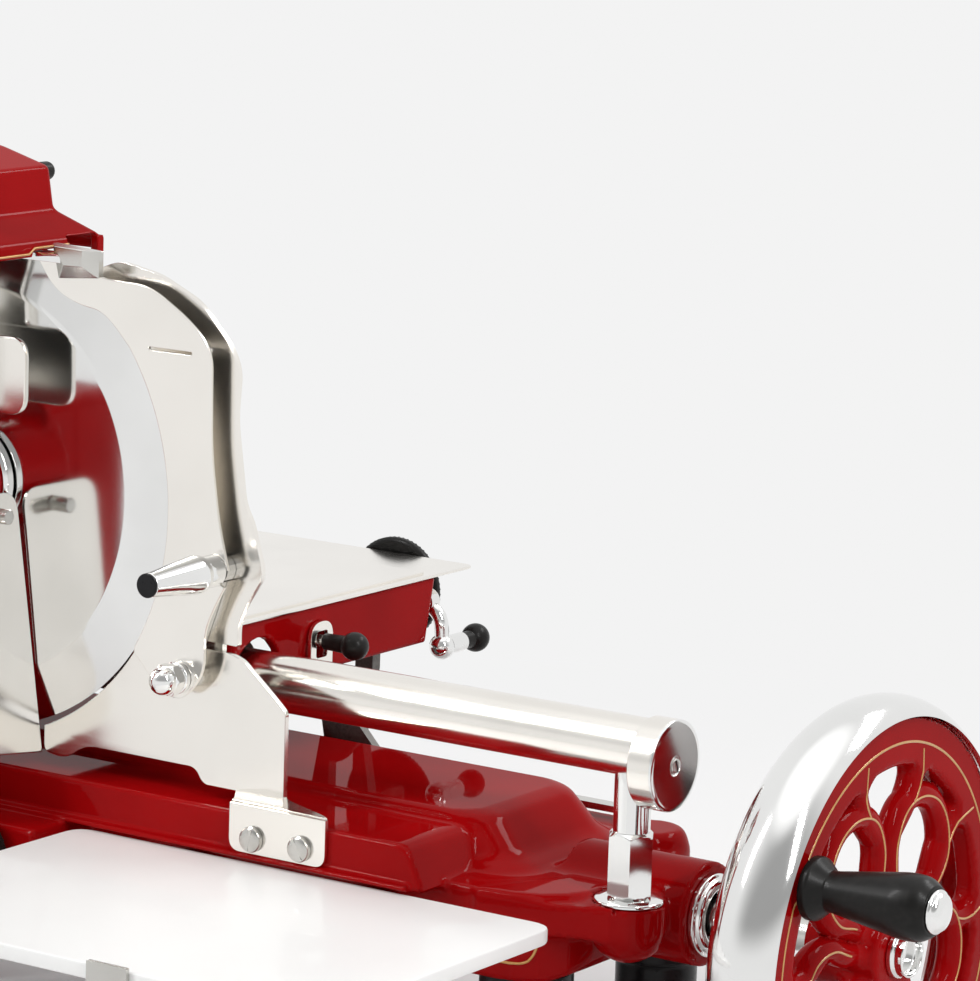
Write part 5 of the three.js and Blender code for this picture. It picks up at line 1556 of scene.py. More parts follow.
@dataclass
class BaseCasting(Assembly):
    """The red hollow casting with its dome, platform, lobes, boss and shaft tube."""

    left: float = -175.0
    right: float = 425.0
    deck: float = -188.0
    end: float = -240.0
    belly: float = -275.0
    shaft: tuple = (96.0, -206.0)
    lobes: tuple = (443.0, -150.0)
    lobe_side: float = 45.0
    lobe_top: float = -192.0
    cell: float = 2.7

    def dome(self) -> Form:
        """The long low dome on the deck.

        Returns:
            The form.
        """
        shares = eased([(-0.3, 1), (0.05, 0.85), (0.2, 0.6), (0.65, 0.35), (0.9, 0.2), (1, 0)],
                       0.16, 5, closed=False)
        rows = [(self.deck + 28 * rise, -98 - 15 * grow, 334 + 44 * grow, 47 - 15 * grow,
                 152 + 15 * grow, 22 + 7.5 * grow) for rise, grow in shares]
        return heap_form(rows, 3.0)

    def outside(self) -> Form:
        """All that is cast, without its hollows.

        Returns:
            The form.
        """
        plan = eased([(self.left, 5, 28), (self.right, 5, 56), (self.right, 126, 28),
                      (413, 148, 28), (371, 200, 28), (self.left, 200, 28)], 0, 5)
        side = eased([(self.left, self.deck, 3), (self.right, self.deck, 3),
                      (self.right, self.end, 28), (338, self.end, 12),
                      (290, self.belly, 48), (-56, self.belly, 48), (-104, self.end, 12),
                      (self.left, self.end, 28)], 0, 5)
        body = prism_form("z", plan, self.belly, self.deck, 3).within(
            prism_form("y", side, 0, 210), 3)
        shelf = prism_form("y", eased([(self.left, -192), (346, -192), (334, -166, 8),
                                       (self.left, -166, 3)], 0, 5), -18, 47, 2.5)
        lip = block_form((self.left, 338), (-22, -14), (-192, self.deck), 1.2)
        apron = block_form((-110, 20), (-122, 11), (-255, -192), 3)
        apron_shelf = block_form((14, 92), (-50, 11), (-255, -192), 3)
        neck = prism_form("z", eased([(369, 5), (411, 10, 10), (443, 24), (443, 60),
                                      (397, 60)], 0, 5), -211, self.lobe_top, 2)
        boss = spun_form("z", eased([(0, self.end), (24, self.end, 2), (24, self.deck, 4),
                                     (21, -180, 2), (18, -177, 2), (0, -177)], 0, 3),
                         (392, 148))
        tube = bar_form("x", 30, 380, 465, self.shaft, 1.6)
        whole = body.joined(self.dome(), 9).joined(shelf, 5).joined(lip, 2)
        whole = whole.joined(apron, 4).joined(apron_shelf, 4)
        for place in self.lobes:
            knob = eased([(0, -226), (6, -226, 5), (16.5, -220.75, 7), (21, -211, 7),
                          (21, self.lobe_top, 1.5), (0, self.lobe_top)], 0, 4)
            whole = whole.joined(spun_form("z", knob, (place, self.lobe_side)), 7)
        left_face = Form(lambda x, y, z: self.left - x)
        return whole.joined(neck, 8).joined(boss, 7).joined(tube, 9).within(left_face)

    def form(self) -> Form:
        """The casting with its hollows, ways and webs.

        Returns:
            The form.
        """
        inside = eased([(-169, -194), (419, -194), (419, -234), (332, -234), (284, -277),
                        (-50, -277), (-98, -234), (-169, -234)], 8, 3)
        inner_plan = eased([(-169, 11, 22), (419, 11, 50), (419, 123, 22), (407, 145, 22),
                            (368, 194, 22), (-169, 194, 22)], 0, 4)
        body_hollow = prism_form("y", inside, 0, 205, 3).within(
            prism_form("z", inner_plan, -277, -194, 1), 1)
        hollows = [
            body_hollow,
            block_form((-92, 328), (53, 146), (-196, -166), 4),
            block_form((-104, 14), (-116, -1), (-270, -198), 3),
            block_form((-82, -8), (-108, -76), (-205, -180)),
            bar_form("y", 10, -118, 13, (-45, -206)),
            bar_form("x", 17, 411, 470, self.shaft),
            block_form((168, 326), (166, 176), (-196, -158)),
            bar_form("z", 20.5, self.lobe_top, -150, (443, self.lobe_side)),
            bar_form("z", 20.5, self.lobe_top, -150, (-150, self.lobe_side))]
        whole = self.outside()
        for hollow in hollows:
            whole = whole.without(hollow, 1.0)
        web = block_form((21, 27), (9, 196), (-226, -192)).without(
            bar_form("x", 11, 15, 33, self.shaft))
        crank_web = block_form((217, 277), (122, 128), (-226, -164)).without(
            bar_form("y", 8.5, 118, 132, (247, -206)))
        pivot = bar_form("y", 7, 167, 196, (247, -255))
        return whole.joined(web, 2).joined(crank_web, 2).joined(pivot, 2)

    def build(self) -> None:
        """Makes the casting and the gold line round its lower edge."""
        form = self.form()
        shape = form.skinned((-178, -124, -277), (467, 202, -158), self.cell)
        self.piece("base_casting", shape, "base_casting")
        dropped = self.outside().dropped(np.array(self.lower_line()))
        self.gold_line("base_gold_line", 0.8, "base", dropped)

    def lower_line(self) -> list:
        """Points in front of the lower edge, from the platform's end to the right.

        Returns:
            The points.
        """
        low = eased([(112, -260), (285, -262, 30), (334, -229, 10), (404, -229, 16),
                     (412, -214, 8), (412, -200)], 0, 8, closed=False)
        made = []
        for (ax, az), (bx, bz) in zip(low, low[1:]):
            count = max(1, int(math.dist((ax, az), (bx, bz)) / 4))
            made += [(ax + (bx - ax) * i / count, 2.0, az + (bz - az) * i / count)
                     for i in range(count)]
        return made


@dataclass
class Legs(Assembly):
    """Four round black legs on rubber pads."""

    places: tuple = (("leg_front_left", -147.0, 40.0), ("leg_front_right", 380.0, 40.0),
                     ("leg_rear_left", -147.0, 148.0), ("leg_rear_right", 400.0, 148.0))
    top: float = -240.3
    stand: float = -366.0
    radius: float = 24.0
    collar: float = 27.0
    collar_height: float = 12.0
    pad_height: float = 8.0

    def build(self) -> None:
        """Makes each leg and its pad."""
        joint = self.stand + self.pad_height
        for name, x, y in self.places:
            column = [(0, self.top), (self.collar, self.top, 0.8),
                      (self.collar, self.top - self.collar_height, 1.6),
                      (self.radius, self.top - self.collar_height - 2, 3),
                      (self.radius - 0.6, joint + 3, 2), (self.radius - 2, joint), (0, joint)]
            self.turned(name, "z", column, (x, y), 96, name)
            pad = [(0, joint), (self.collar - 2, joint, 1.5),
                   (self.collar, joint - 3, 1.5), (self.collar - 0.5, self.stand + 1.5, 1),
                   (self.collar - 2, self.stand, 0.5), (0, self.stand)]
            self.turned(f"{name}_pad", "z", pad, (x, y), 96, name, steps=4, slot=Slot.RUBBER)


@dataclass
class SlideRod(Assembly):
    """The front slide rod, its end caps and its posts."""

    radius: float = 17.0
    ends: tuple = (-165.0, 462.0)
    side: float = 45.0
    height: float = -103.0
    cap_radius: float = 26.0
    cap_height: float = -110.0
    post_places: tuple = (443.0, -150.0)
    foot: float = -191.7

    def build(self) -> None:
        """Makes the rod, caps and posts."""
        self.piece("front_rod", round_bar("x", self.radius, *self.ends,
                                          (self.side, self.height), 1.2, 128), "front_rod",
                   slot=Slot.NICKEL)
        for name, start, way in (("rod_cap_right", 454.0, 1), ("rod_cap_left", -157.0, -1)):
            self.cap(name, start, way)
        for name, x in zip(("rod_post_right", "rod_post_left"), self.post_places):
            self.post(name, x)

    def cap(self, name: str, start: float, way: int) -> None:
        """Makes one end cap with the screw in its face.

        Args:
            name: the piece's name.
            start: where it starts along the rod.
            way: 1 for the right end and -1 for the left.
        """
        middle = (self.side, self.cap_height)
        face = start + way * 16
        barrel = [(0, start), (self.cap_radius, start, 0.8),
                  (self.cap_radius, face - way * 1.6, 0.3), (0, face - way * 1.6)]
        self.turned(name, "x", barrel, middle, 144, name, slot=Slot.NICKEL)
        plate = [(0, face - way * 1.7), (self.cap_radius, face - way * 1.7, 0.2),
                 (self.cap_radius, face - way * 0.3, 1.0), (23.6, face, 0.8),
                 (5.6, face, 0.4), (5.0, face - way * 0.9, 0.3), (0, face - way * 0.9)]
        self.turned(f"{name}_face", "x", plate, middle, 144, name, slot=Slot.CHROME)
        head, slot_shade = slotted_head("x", 4.4, face + way * 1.0, face - way * 0.9, middle, 24)
        self.piece(f"{name}_screw", head, name, slot=Slot.STEEL)
        # The slot is a flat plate in black paint on the screw's face: painted shade standing in
        # for the slot's recess.
        self.piece(f"{name}_screw_slot", slot_shade, name, slot=Slot.PAINT)

    def post(self, name: str, x: float) -> None:
        """Makes one post with its nut and washer.

        Args:
            name: the piece's name.
            x: the post's place along the rod.
        """
        middle = (x, self.side)
        stem = [(0, -188), (10.5, -188), (10.5, -121, 1), (10.2, self.height - 6),
                (0, self.height - 6)]
        self.turned(name, "z", stem, middle, 72, name, steps=4)
        self.piece(f"{name}_nut", nut("z", 14.0, -188.7, -151.0, middle), name, bend=12)
        washer = [(0, self.foot), (20, self.foot, 0.6), (20, -189.6, 1.2),
                  (15.5, -188.7, 1.0), (0, -188.7)]
        self.turned(f"{name}_washer", "z", washer, middle, 96, name, steps=4)


@dataclass
class ShaftEnd(Assembly):
    """The polished ring at the end of the shaft tube."""

    inner: float = 13.0
    outer: float = 24.0
    start: float = 465.3
    length: float = 7.0
    middle: tuple = (96.0, -206.0)

    def build(self) -> None:
        """Makes the stepped ring."""
        a, b = self.start, self.start + self.length
        profile = [(self.inner, a), (self.outer, a, 0.6), (self.outer, a + 3.4, 0.8),
                   (self.outer - 2.2, a + 4.0, 0.5), (self.outer - 2.6, b - 1.0, 0.8),
                   (self.outer - 4.4, b, 0.6), (self.outer - 8, b, 0.8),
                   (self.inner + 1.4, b - 1.6, 0.6), (self.inner, b - 2.4)]
        self.turned("bearing_ring", "x", profile, self.middle, 144, "bearing_ring", steps=4,
                    ring=True)


# The plates round the blade

@dataclass
class Plates(Assembly):
    """The bracket, gauge plate and guard in the plane of the blade, with their fixings."""

    blade: float = 150.0
    knob_spot: tuple = (192.0, -29.0)
    acorn_spot: tuple = (168.0, -95.0)
    screw_places: tuple = (230.0, 264.0)
    screw_height: float = -179.0
    hole_radius: float = 4.8
    guard_span: tuple = (-13.0, -10.5)
    sheet_span: tuple = (-2.0, 2.0)

    def build(self) -> None:
        """Makes the plates and what holds them."""
        self.gauge()
        self.guard()
        self.bracket()
        self.acorn()
        self.knob()

    def hole(self, spot: Point) -> list:
        """The outline of a fixing's hole."""
        return arc(self.hole_radius, 0, 345, 23, spot)

    def gauge(self) -> None:
        """Makes the gauge plate."""
        shares = [(0.56, 0.867, 0.02), (0.653, 0.903, 0.03), (0.74, 0.937, 0.05),
                  (0.933, 0.903, 0.05), (1.133, 0.817, 0.06), (1.287, 0.657, 0.05),
                  (1.327, 0.57, 0.05), (1.313, 0.383, 0.06), (1.36, 0.063, 0.05),
                  (1.4, -0.005, 0.03), (1.453, -0.17, 0.04), (1.453, -0.217, 0.04),
                  (1.38, -0.33, 0.04), (1.347, -0.403, 0.04), (1.347, -0.493, 0.01)]
        outline = eased(scaled(shares, self.blade) + arc(154, -28.5, 57, 60))
        hole = self.hole(self.knob_spot)
        self.piece("gauge_plate", slab("y", outline, *self.sheet_span, 0.3, [hole]),
                   "gauge_plate")

    def guard(self) -> None:
        """Makes the guard with its slot and the notch for the knob's stud."""
        shares = [(0.773, 0.7, 0.03), (0.707, 0.747, 0.04), (0.6, 0.76, 0.05),
                  (0.513, 0.793, 0.04), (0.453, 0.84, 0.04), (0.387, 0.933, 0.008),
                  (0.53, 0.94, 0.02), (0.72, 0.873, 0.03), (0.94, 0.867, 0.08),
                  (1.14, 0.753, 0.08), (1.247, 0.653, 0.08), (1.253, 0.267, 0.1),
                  (1.293, 0, 0.1), (1.338, -0.160, 0.03)]
        lower = [(1.28, -0.347, 0.06), (1.24, -0.44, 0.06), (1.243, -0.62, 0.09),
                 (1.12, -0.735, 0.09), (1.013, -0.68, 0.05), (0.9, -0.567, 0.02)]
        notch = self.notch()
        outline = eased(scaled(shares, self.blade) + notch + scaled(lower, self.blade)
                        + arc(158, -31, 36, 48))
        slot = eased([(142, 93.1), (173, 93.1), (173, 94.9), (142, 94.9)], 0.85, 3)
        hole = self.hole(self.acorn_spot)
        self.piece("guard_plate", slab("y", outline, *self.guard_span, 0.5, [slot, hole]),
                   "guard_plate")

    def notch(self) -> list:
        """The notch round the stud, open to the guard's edge along its swing.

        Returns:
            The points, each with its corner's reach.
        """
        x, z = self.knob_spot
        way = math.radians(-26)
        cos, sin = math.cos(way), math.sin(way)

        def spot(along: float, aside: float, reach: float = 0.0) -> tuple:
            """A point along the notch's way out."""
            return (x + along * cos - aside * sin, z + along * sin + aside * cos, reach)

        end = [spot(5 * math.cos(a), 5 * math.sin(a)) for a in np.radians(
            np.linspace(95, 265, 14))]
        return [spot(8.6, 5, 0.5)] + end + [spot(11.0, -5, 0.5)]

    def bracket(self) -> None:
        """Makes the bracket plate, its fold and the lug with two screws."""
        shares = [(1.58, -0.717, 0.02), (1.527, -0.67, 0.02), (1.373, -0.544, 0.02),
                  (1.313, -0.524, 0.03)]
        outline = eased(scaled(shares, self.blade) + arc(154, -30, -67, 30)
                        + [(60, -157.5, 5), (76, -160, 8), (92, -149.5, 8), (173, -149.5, 5),
                           (179, -159, 5), (237, -159, 0)])
        hole = self.hole(self.acorn_spot)
        low, high = self.sheet_span
        stand = slab("y", outline, low, high, 0.6, [hole])
        self.piece("bracket_plate", stand, "bracket_plate")
        rows = []
        for share in np.linspace(0, 1, 25):
            bend = share * share * (3 - 2 * share)
            y = 2 - share * 22.4
            left, right = 203 + 10 * bend, 237 + 44 * bend
            top, thick = -157.6 - 1.6 * bend - max(0, share - 0.9) * 14, 2.6
            rows.append(np.array([(left, y, top - thick), (right, y, top - thick),
                                  (right, y, top), (left, y, top)]))
        fold = loft(rows)
        tongue = slab("y", eased([(213, -160), (213, -188, 8), (281, -188, 8), (281, -160)],
                                 0, 8), -21.3, -18.3, 0.6)
        self.piece("bracket_fold", fold, "bracket_plate", bend=50)
        self.piece("bracket_lug", tongue, "bracket_plate")
        for i, x in enumerate(self.screw_places):
            name = f"bracket_screw_{i + 1}"
            head, slot_shade = slotted_head("y", 7.5, -25.6, -21.6, (x, self.screw_height),
                                        12 - 40 * i)
            shank = round_bar("y", 3, -21.6, -7, (x, self.screw_height), 0.4, 24)
            self.piece(name, head + shank, name)
            # The slot plate is steel, darker than the head, laid flat on its face: painted
            # shade for the slot's recess.
            self.piece(f"{name}_slot", slot_shade, name, slot=Slot.STEEL)

    def acorn(self) -> None:
        """Makes the acorn nut with its washer."""
        x, z = self.acorn_spot
        washer = [(0, -13.3), (9.5, -13.3, 0.5), (9.5, -16.6, 0.8), (8.6, -17.3, 0.5),
                  (0, -17.3)]
        body = lathe("y", eased(washer, 0, 4, closed=False), (x, z), 72)
        self.piece("acorn_nut_washer", body, "acorn_nut")
        self.piece("acorn_nut", nut("y", 10.0, -26.3, -17.3, (x, z)), "acorn_nut", bend=12)
        cap = [(8.5 * math.cos(a), -26.3 - 9 * math.sin(a))
               for a in np.radians(np.linspace(0, 90, 16))]
        self.piece("acorn_nut_dome", lathe("y", [(0, -24), (8.5, -24)] + cap, (x, z), 72),
                   "acorn_nut")

    def knob(self) -> None:
        """Makes the guard's long knob: collar, shoulder, taper and flat tip."""
        x, z = self.knob_spot
        collar = [(0, -13.3), (9.5, -13.3, 0.6), (9.5, -25.4, 0.8), (9.0, -26.3), (0, -26.3)]
        self.turned("guard_knob_collar", "y", collar, (x, z), 96, "guard_knob", steps=4)
        taper = [(0, -26.3), (10.6, -26.3, 0.6), (11.5, -31.3, 2.2), (7.0, -73.0, 0.8),
                 (6.2, -73.6, 0.3), (0, -73.6)]
        self.turned("guard_knob", "y", taper, (x, z), 96, "guard_knob", steps=6)
        tip = [(0, -73.0), (7.0, -73.4, 0.3), (7.0, -75.0, 0.6), (6.2, -75.3, 0.3), (0, -75.3)]
        self.turned("guard_knob_tip", "y", tip, (x, z), 96, "guard_knob", steps=3,
                    slot=Slot.PAINT)


@dataclass
class Blade(Assembly):
    """The round hollow ground blade."""

    radius: float = 150.0

    def build(self) -> None:
        """Makes the blade with its bevel, its turned step and hub face."""
        profile = [(0, 0), (47.4, 0, 1.5), (117.5, -1.0, 0.8), (119.6, -0.75, 0.6),
                   (self.radius, 5, 0), (self.radius, 5.5, 0), (118.5, 6, 1), (0, 6)]
        shape = lathe("y", eased(profile, 0, 5, closed=False), (0, 0), 256)
        self.piece("blade", shape, "blade", slot=Slot.BLADE, bend=14)


# The blade's housing

@dataclass
class BladeHousing(Assembly):
    """The red column that carries the blade, its cover, ring and slice deflector."""

    foot: float = -191.7
    front: float = -113.0
    cell: float = 2.3

    def column(self) -> list:
        """The column's outline."""
        return eased([(-90, self.foot), (10, self.foot), (20, -48, 6), (20, 42, 12),
                      (-50, 42, 24)], 0, 6)

    def build(self) -> None:
        """Makes the casting, its cover, the ring and the deflector."""
        head = prism_form("y", oblong((-50, 20), (-48, 42), 12, 5), self.front, -45, 3)
        body = prism_form("y", self.column(), self.front, -70, 3).joined(head, 4)
        body = body.joined(bar_form("y", 32, -52, -9, (0, 0), 2), 6)
        cavity = prism_form("y", [(-85, -196), (5, -196), (17.5, -48), (17.5, 32), (-35, 32)],
                            -120, -76, 1)
        bore = bar_form("y", 13, -120, 4, (0, 0))
        form = body.without(cavity, 0.5).without(bore, 0.5)
        shape = form.skinned((-92, -115, -193), (34, -7, 44), self.cell)
        self.piece("blade_housing", shape, "blade_housing")
        self.piece("housing_cover", slab("y", self.column(), -116.3, -113.3, 1.0),
                   "housing_cover")
        self.ring()
        self.deflector()

    def ring(self) -> None:
        """Makes the polished ring between housing and blade."""
        profile = [(19, -8.7), (32, -8.7, 0.6), (34, -6.7, 0.8), (34, -1.5, 0.6), (19, -1.5)]
        self.turned("hub_ring", "y", profile, (0, 0), 144, "hub_ring", steps=4, ring=True)

    def deflector(self) -> None:
        """Makes the leaf that turns the slices away, and its thumb screw."""
        outline = eased([(-3, -157, 1), (-3, 0, 14), (-68, 0, 14), (-68, -149, 14)], 0, 8)
        hole = arc(4.0, 0, 340, 17, (-28, -11))
        leaf = slab("x", outline, 0, 2, 0.4, [hole]).turned("y", -8.4).moved(35, 0, -3)
        self.piece("deflector", leaf, "deflector")
        shank = round_bar("x", 3, 32.3, 41, (-28, -14), 0.3, 32)
        self.piece("deflector_screw", shank, "deflector_screw")
        tooth = slab("z", [(3.6, -0.5), (4.5, -0.12), (4.5, 0.12), (3.6, 0.5)], 0, 14, 0.06)
        core = round_bar("x", 4.2, 39, 53, (-28, -14), 0.8, 48)
        self.piece("deflector_screw_head", core, "deflector_screw")
        self.copies("deflector_screw_knurl", tooth, 24, (0, math.pi / 2, 0), (39, -28, -14),
                    Slot.STEEL, "base")


# The flywheel

@dataclass
class Flywheel(Assembly):
    """The red spoked wheel with its polished rim, cap, gold lines and shaft."""

    middle: tuple = (96.0, -206.0)
    radius: float = 141.0
    face: float = 580.0
    first: float = 54.0
    count: int = 5
    tube: float = 7.5
    tip: float = 92.0
    start: float = 18.0
    handle_reach: float = 110.0
    handle_angle: float = 149.5
    cell: float = 1.9

    def petal(self) -> np.ndarray:
        """One side of a petal from the hub to its tip, as reach and aside pairs.

        Returns:
            The pairs.
        """
        spread_out, span = 0.2128 * self.radius, self.tip - self.start
        shares = [(0.2, 0.5), (0.45, 0.95), (0.72, 1.02), (0.92, 0.62)]
        spots = [(0.0, 0.0)] + [(self.start + span * a, spread_out * b) for a, b in shares]
        spots += [(self.tip, 0.0)]
        mirror = [(a, -b) for a, b in spots[::-1][1:]]
        return smooth_path(spots + mirror, 7)[:len(spots) * 7 - 6]

    def branch(self) -> np.ndarray:
        """The short arm from a petal to the ring."""
        shares = [(0.43, 0.2128), (0.56, 0.190), (0.66, 0.205), (0.755, 0.275)]
        return smooth_path([(self.radius * a, self.radius * b) for a, b in shares], 5)

    def folded(self, y: np.ndarray, z: np.ndarray) -> tuple:
        """Places on the wheel folded onto half of one petal.

        Args:
            y: places along Y.
            z: places along Z.

        Returns:
            The reach from the hub and the distance aside.
        """
        a, b = y - self.middle[0], z - self.middle[1]
        sector = math.tau / self.count
        angle = np.arctan2(b, a) - math.radians(self.first)
        angle = np.abs((angle + sector / 2) % sector - sector / 2)
        reach = np.hypot(a, b)
        return reach * np.cos(angle), reach * np.sin(angle)

    def handle_spot(self) -> tuple:
        """Where the handle stands.

        Returns:
            Its place on Y and Z.
        """
        angle = math.radians(self.handle_angle)
        return (self.middle[0] + self.handle_reach * math.cos(angle),
                self.middle[1] + self.handle_reach * math.sin(angle))

    def form(self) -> Form:
        """The wheel's casting.

        Returns:
            The form.
        """
        wires = wire_form([self.petal(), self.branch()], self.face - 8, self.tube)
        spokes = Form(lambda x, y, z: wires.depth(x, *self.folded(y, z)))
        back = self.face - 14
        disc = spun_form("x", eased([(103, back, 4), (123, back, 1), (130.5, self.face, 1),
                                     (103, self.face, 4)], 0, 4), self.middle)
        hub = bar_form("x", 25, back - 26, self.face + 6, self.middle, 3)
        boss = bar_form("x", 12, back, self.face + 3, self.handle_spot(), 1.2)
        plane = bar_form("x", self.radius, 500, self.face, self.middle)
        whole = spokes.joined(disc, 7).within(plane).joined(hub, 8).joined(boss, 4)
        whole = whole.without(bar_form("x", 10.3, back - 30, self.face + 9, self.middle))
        return whole.without(bar_form("x", 5.3, self.face - 12.3, self.face + 5,
                                      self.handle_spot()))

    def build(self) -> None:
        """Makes the wheel, rim, cap, lines and shaft."""
        form = self.form()
        y, z = self.middle
        reach = self.radius - 8
        shape = form.skinned((538, y - reach, z - reach), (588, y + reach, z + reach),
                             self.cell)
        self.piece("flywheel", shape, "flywheel")
        self.rim()
        self.lines(form)
        cap = [(0, 586.3), (14, 586.3, 0.8), (14, 589.6, 0.8), (12.4, 590.6, 0.8),
               (12.8, 595.4, 1.0), (12.2, 596.0, 0.5), (11.4, 595.8, 0.5), (10.6, 591.0, 1.2),
               (0, 590.4)]
        self.turned("hub_cap", "x", cap, self.middle, 120, "hub_cap")
        shaft = round_bar("x", 10, -28, 585.7, self.middle, 0.8, 72)
        self.piece("flywheel_shaft", shaft, "flywheel_shaft")
        self.gear("cross_gear_on_shaft", -18, 22, 14)
        self.gear("pinion_on_shaft", 287.5, 18, 12)

    def gear(self, name: str, place: float, radius: float, teeth: int) -> None:
        """Makes one bevel gear on the shaft."""
        shape = bevel_gear("x", radius - 1, 9, 3, teeth, place, self.middle)
        self.piece(name, shape, "flywheel_shaft", bend=20)

    def rim(self) -> None:
        """Makes the broad polished rim."""
        spots = arc(27, 39, 150, 40, (563, 114)) + arc(24.4, 150, 112, 12, (563, 114))
        profile = [(r, x, 0) for x, r in spots]
        profile += [(123.3, 565.7, 0.6), (130.8, 580.3, 0.6)]
        self.turned("flywheel_rim", "x", profile, self.middle, 288, "flywheel_rim", steps=4,
                    ring=True, bend=35)

    def lines(self, form: Form) -> None:
        """Makes the gold circle on the disc and the gold lines on the petals.

        Args:
            form: the wheel's casting, on which the lines lie.
        """
        y, z = self.middle
        circle = np.array([(self.face, y + b, z + c) for b, c in arc(
            116.4, 0, 360, 240)[:-1]])
        for _ in range(2):
            circle[:, 0] -= form.depth(*circle.T)
        self.gold_line("wheel_gold_circle", 0.9, "wheel", circle - np.array([0.45, 0, 0]),
                       closed=True)
        half = self.petal()
        half = half[half[:, 0] > 33]
        for i in range(self.count):
            angle = math.radians(self.first + 360 * i / self.count)
            for (kind, run), (side, way) in product(
                    (("petal", half), ("branch", self.branch()[5:])),
                    (("left", 1), ("right", -1))):
                spots = np.array([(self.face + 0.4, y + r * math.cos(angle)
                                   - way * s * math.sin(angle),
                                   z + r * math.sin(angle) + way * s * math.cos(angle))
                                  for r, s in run])
                for _ in range(2):
                    spots[:, 0] -= form.depth(*spots.T)
                self.gold_line(f"wheel_gold_{kind}_{i + 1}_{side}", 0.75, "wheel",
                               spots - np.array([0.35, 0, 0]))


def toothed(middle: Point, outer: float, root: float, count: int) -> list:
    """A gear's outline.

    Args:
        middle: the gear's middle.
        outer: the radius of the tips.
        root: the radius between the teeth.
        count: the number of teeth.

    Returns:
        The points.
    """
    made = []
    for i in range(count):
        for share, radius in ((0.1, root), (0.34, outer), (0.66, outer), (0.9, root)):
            angle = math.tau * (i + share) / count
            made.append((middle[0] + radius * math.cos(angle),
                         middle[1] + radius * math.sin(angle)))
    return made


def bevel_gear(axis: str, radius: float, width: float, depth: float, teeth: int,
               place: float, middle: Point) -> Shape:
    """A bevel gear that narrows from its wide end down the axis.

    Args:
        axis: the axis it lies along.
        radius: the radius of its wide end.
        width: its length.
        depth: the height of its teeth.
        teeth: the number of teeth.
        place: where its wide end is.
        middle: where the axis stands on the other two coordinates.

    Returns:
        The closed mesh.
    """
    rings = []
    for share, step in ((0.93, -0.6), (1, 0), (0.72, width)):
        ring = np.array(toothed(middle, radius * share, (radius - depth) * share, teeth))
        rings.append(spread(axis, ring[:, 0], ring[:, 1],
                            np.full(len(ring), place - step)))
    return loft(rings)


@dataclass
class CrankHandle(Assembly):
    """The handle that the hand turns: spindle, black grip and polished end."""

    middle: tuple
    start: float = 584.0
    inner: float = 5.3

    def build(self) -> None:
        """Makes the handle."""
        a = self.start
        self.piece("handle_spindle", round_bar("x", 5, 568, 656, self.middle, 0.6, 48),
                   "handle_spindle")
        grip = [(self.inner, a), (17.5, a, 1.0), (17.5, a + 4.6, 1.0), (11.2, a + 12, 0.8),
                (11.4, a + 15, 1.0), (18.2, a + 58, 9), (17.6, a + 68, 6),
                (13.6, a + 73.8, 1.5), (12.4, a + 74, 0.4), (self.inner, a + 74)]
        self.turned("handle_grip", "x", grip, self.middle, 128, "handle_grip", steps=7,
                    ring=True)
        b = a + 74.3
        cap = [(0, b), (12, b, 0.5), (12, b + 1.8, 0.8), (10.8, b + 2.6, 0.4),
               (9.6, b + 4.8, 1.6), (6.0, b + 6, 1.5), (0, b + 6)]
        self.turned("grip_end_cap", "x", cap, self.middle, 96, "grip_end_cap")


# The carriage and its table

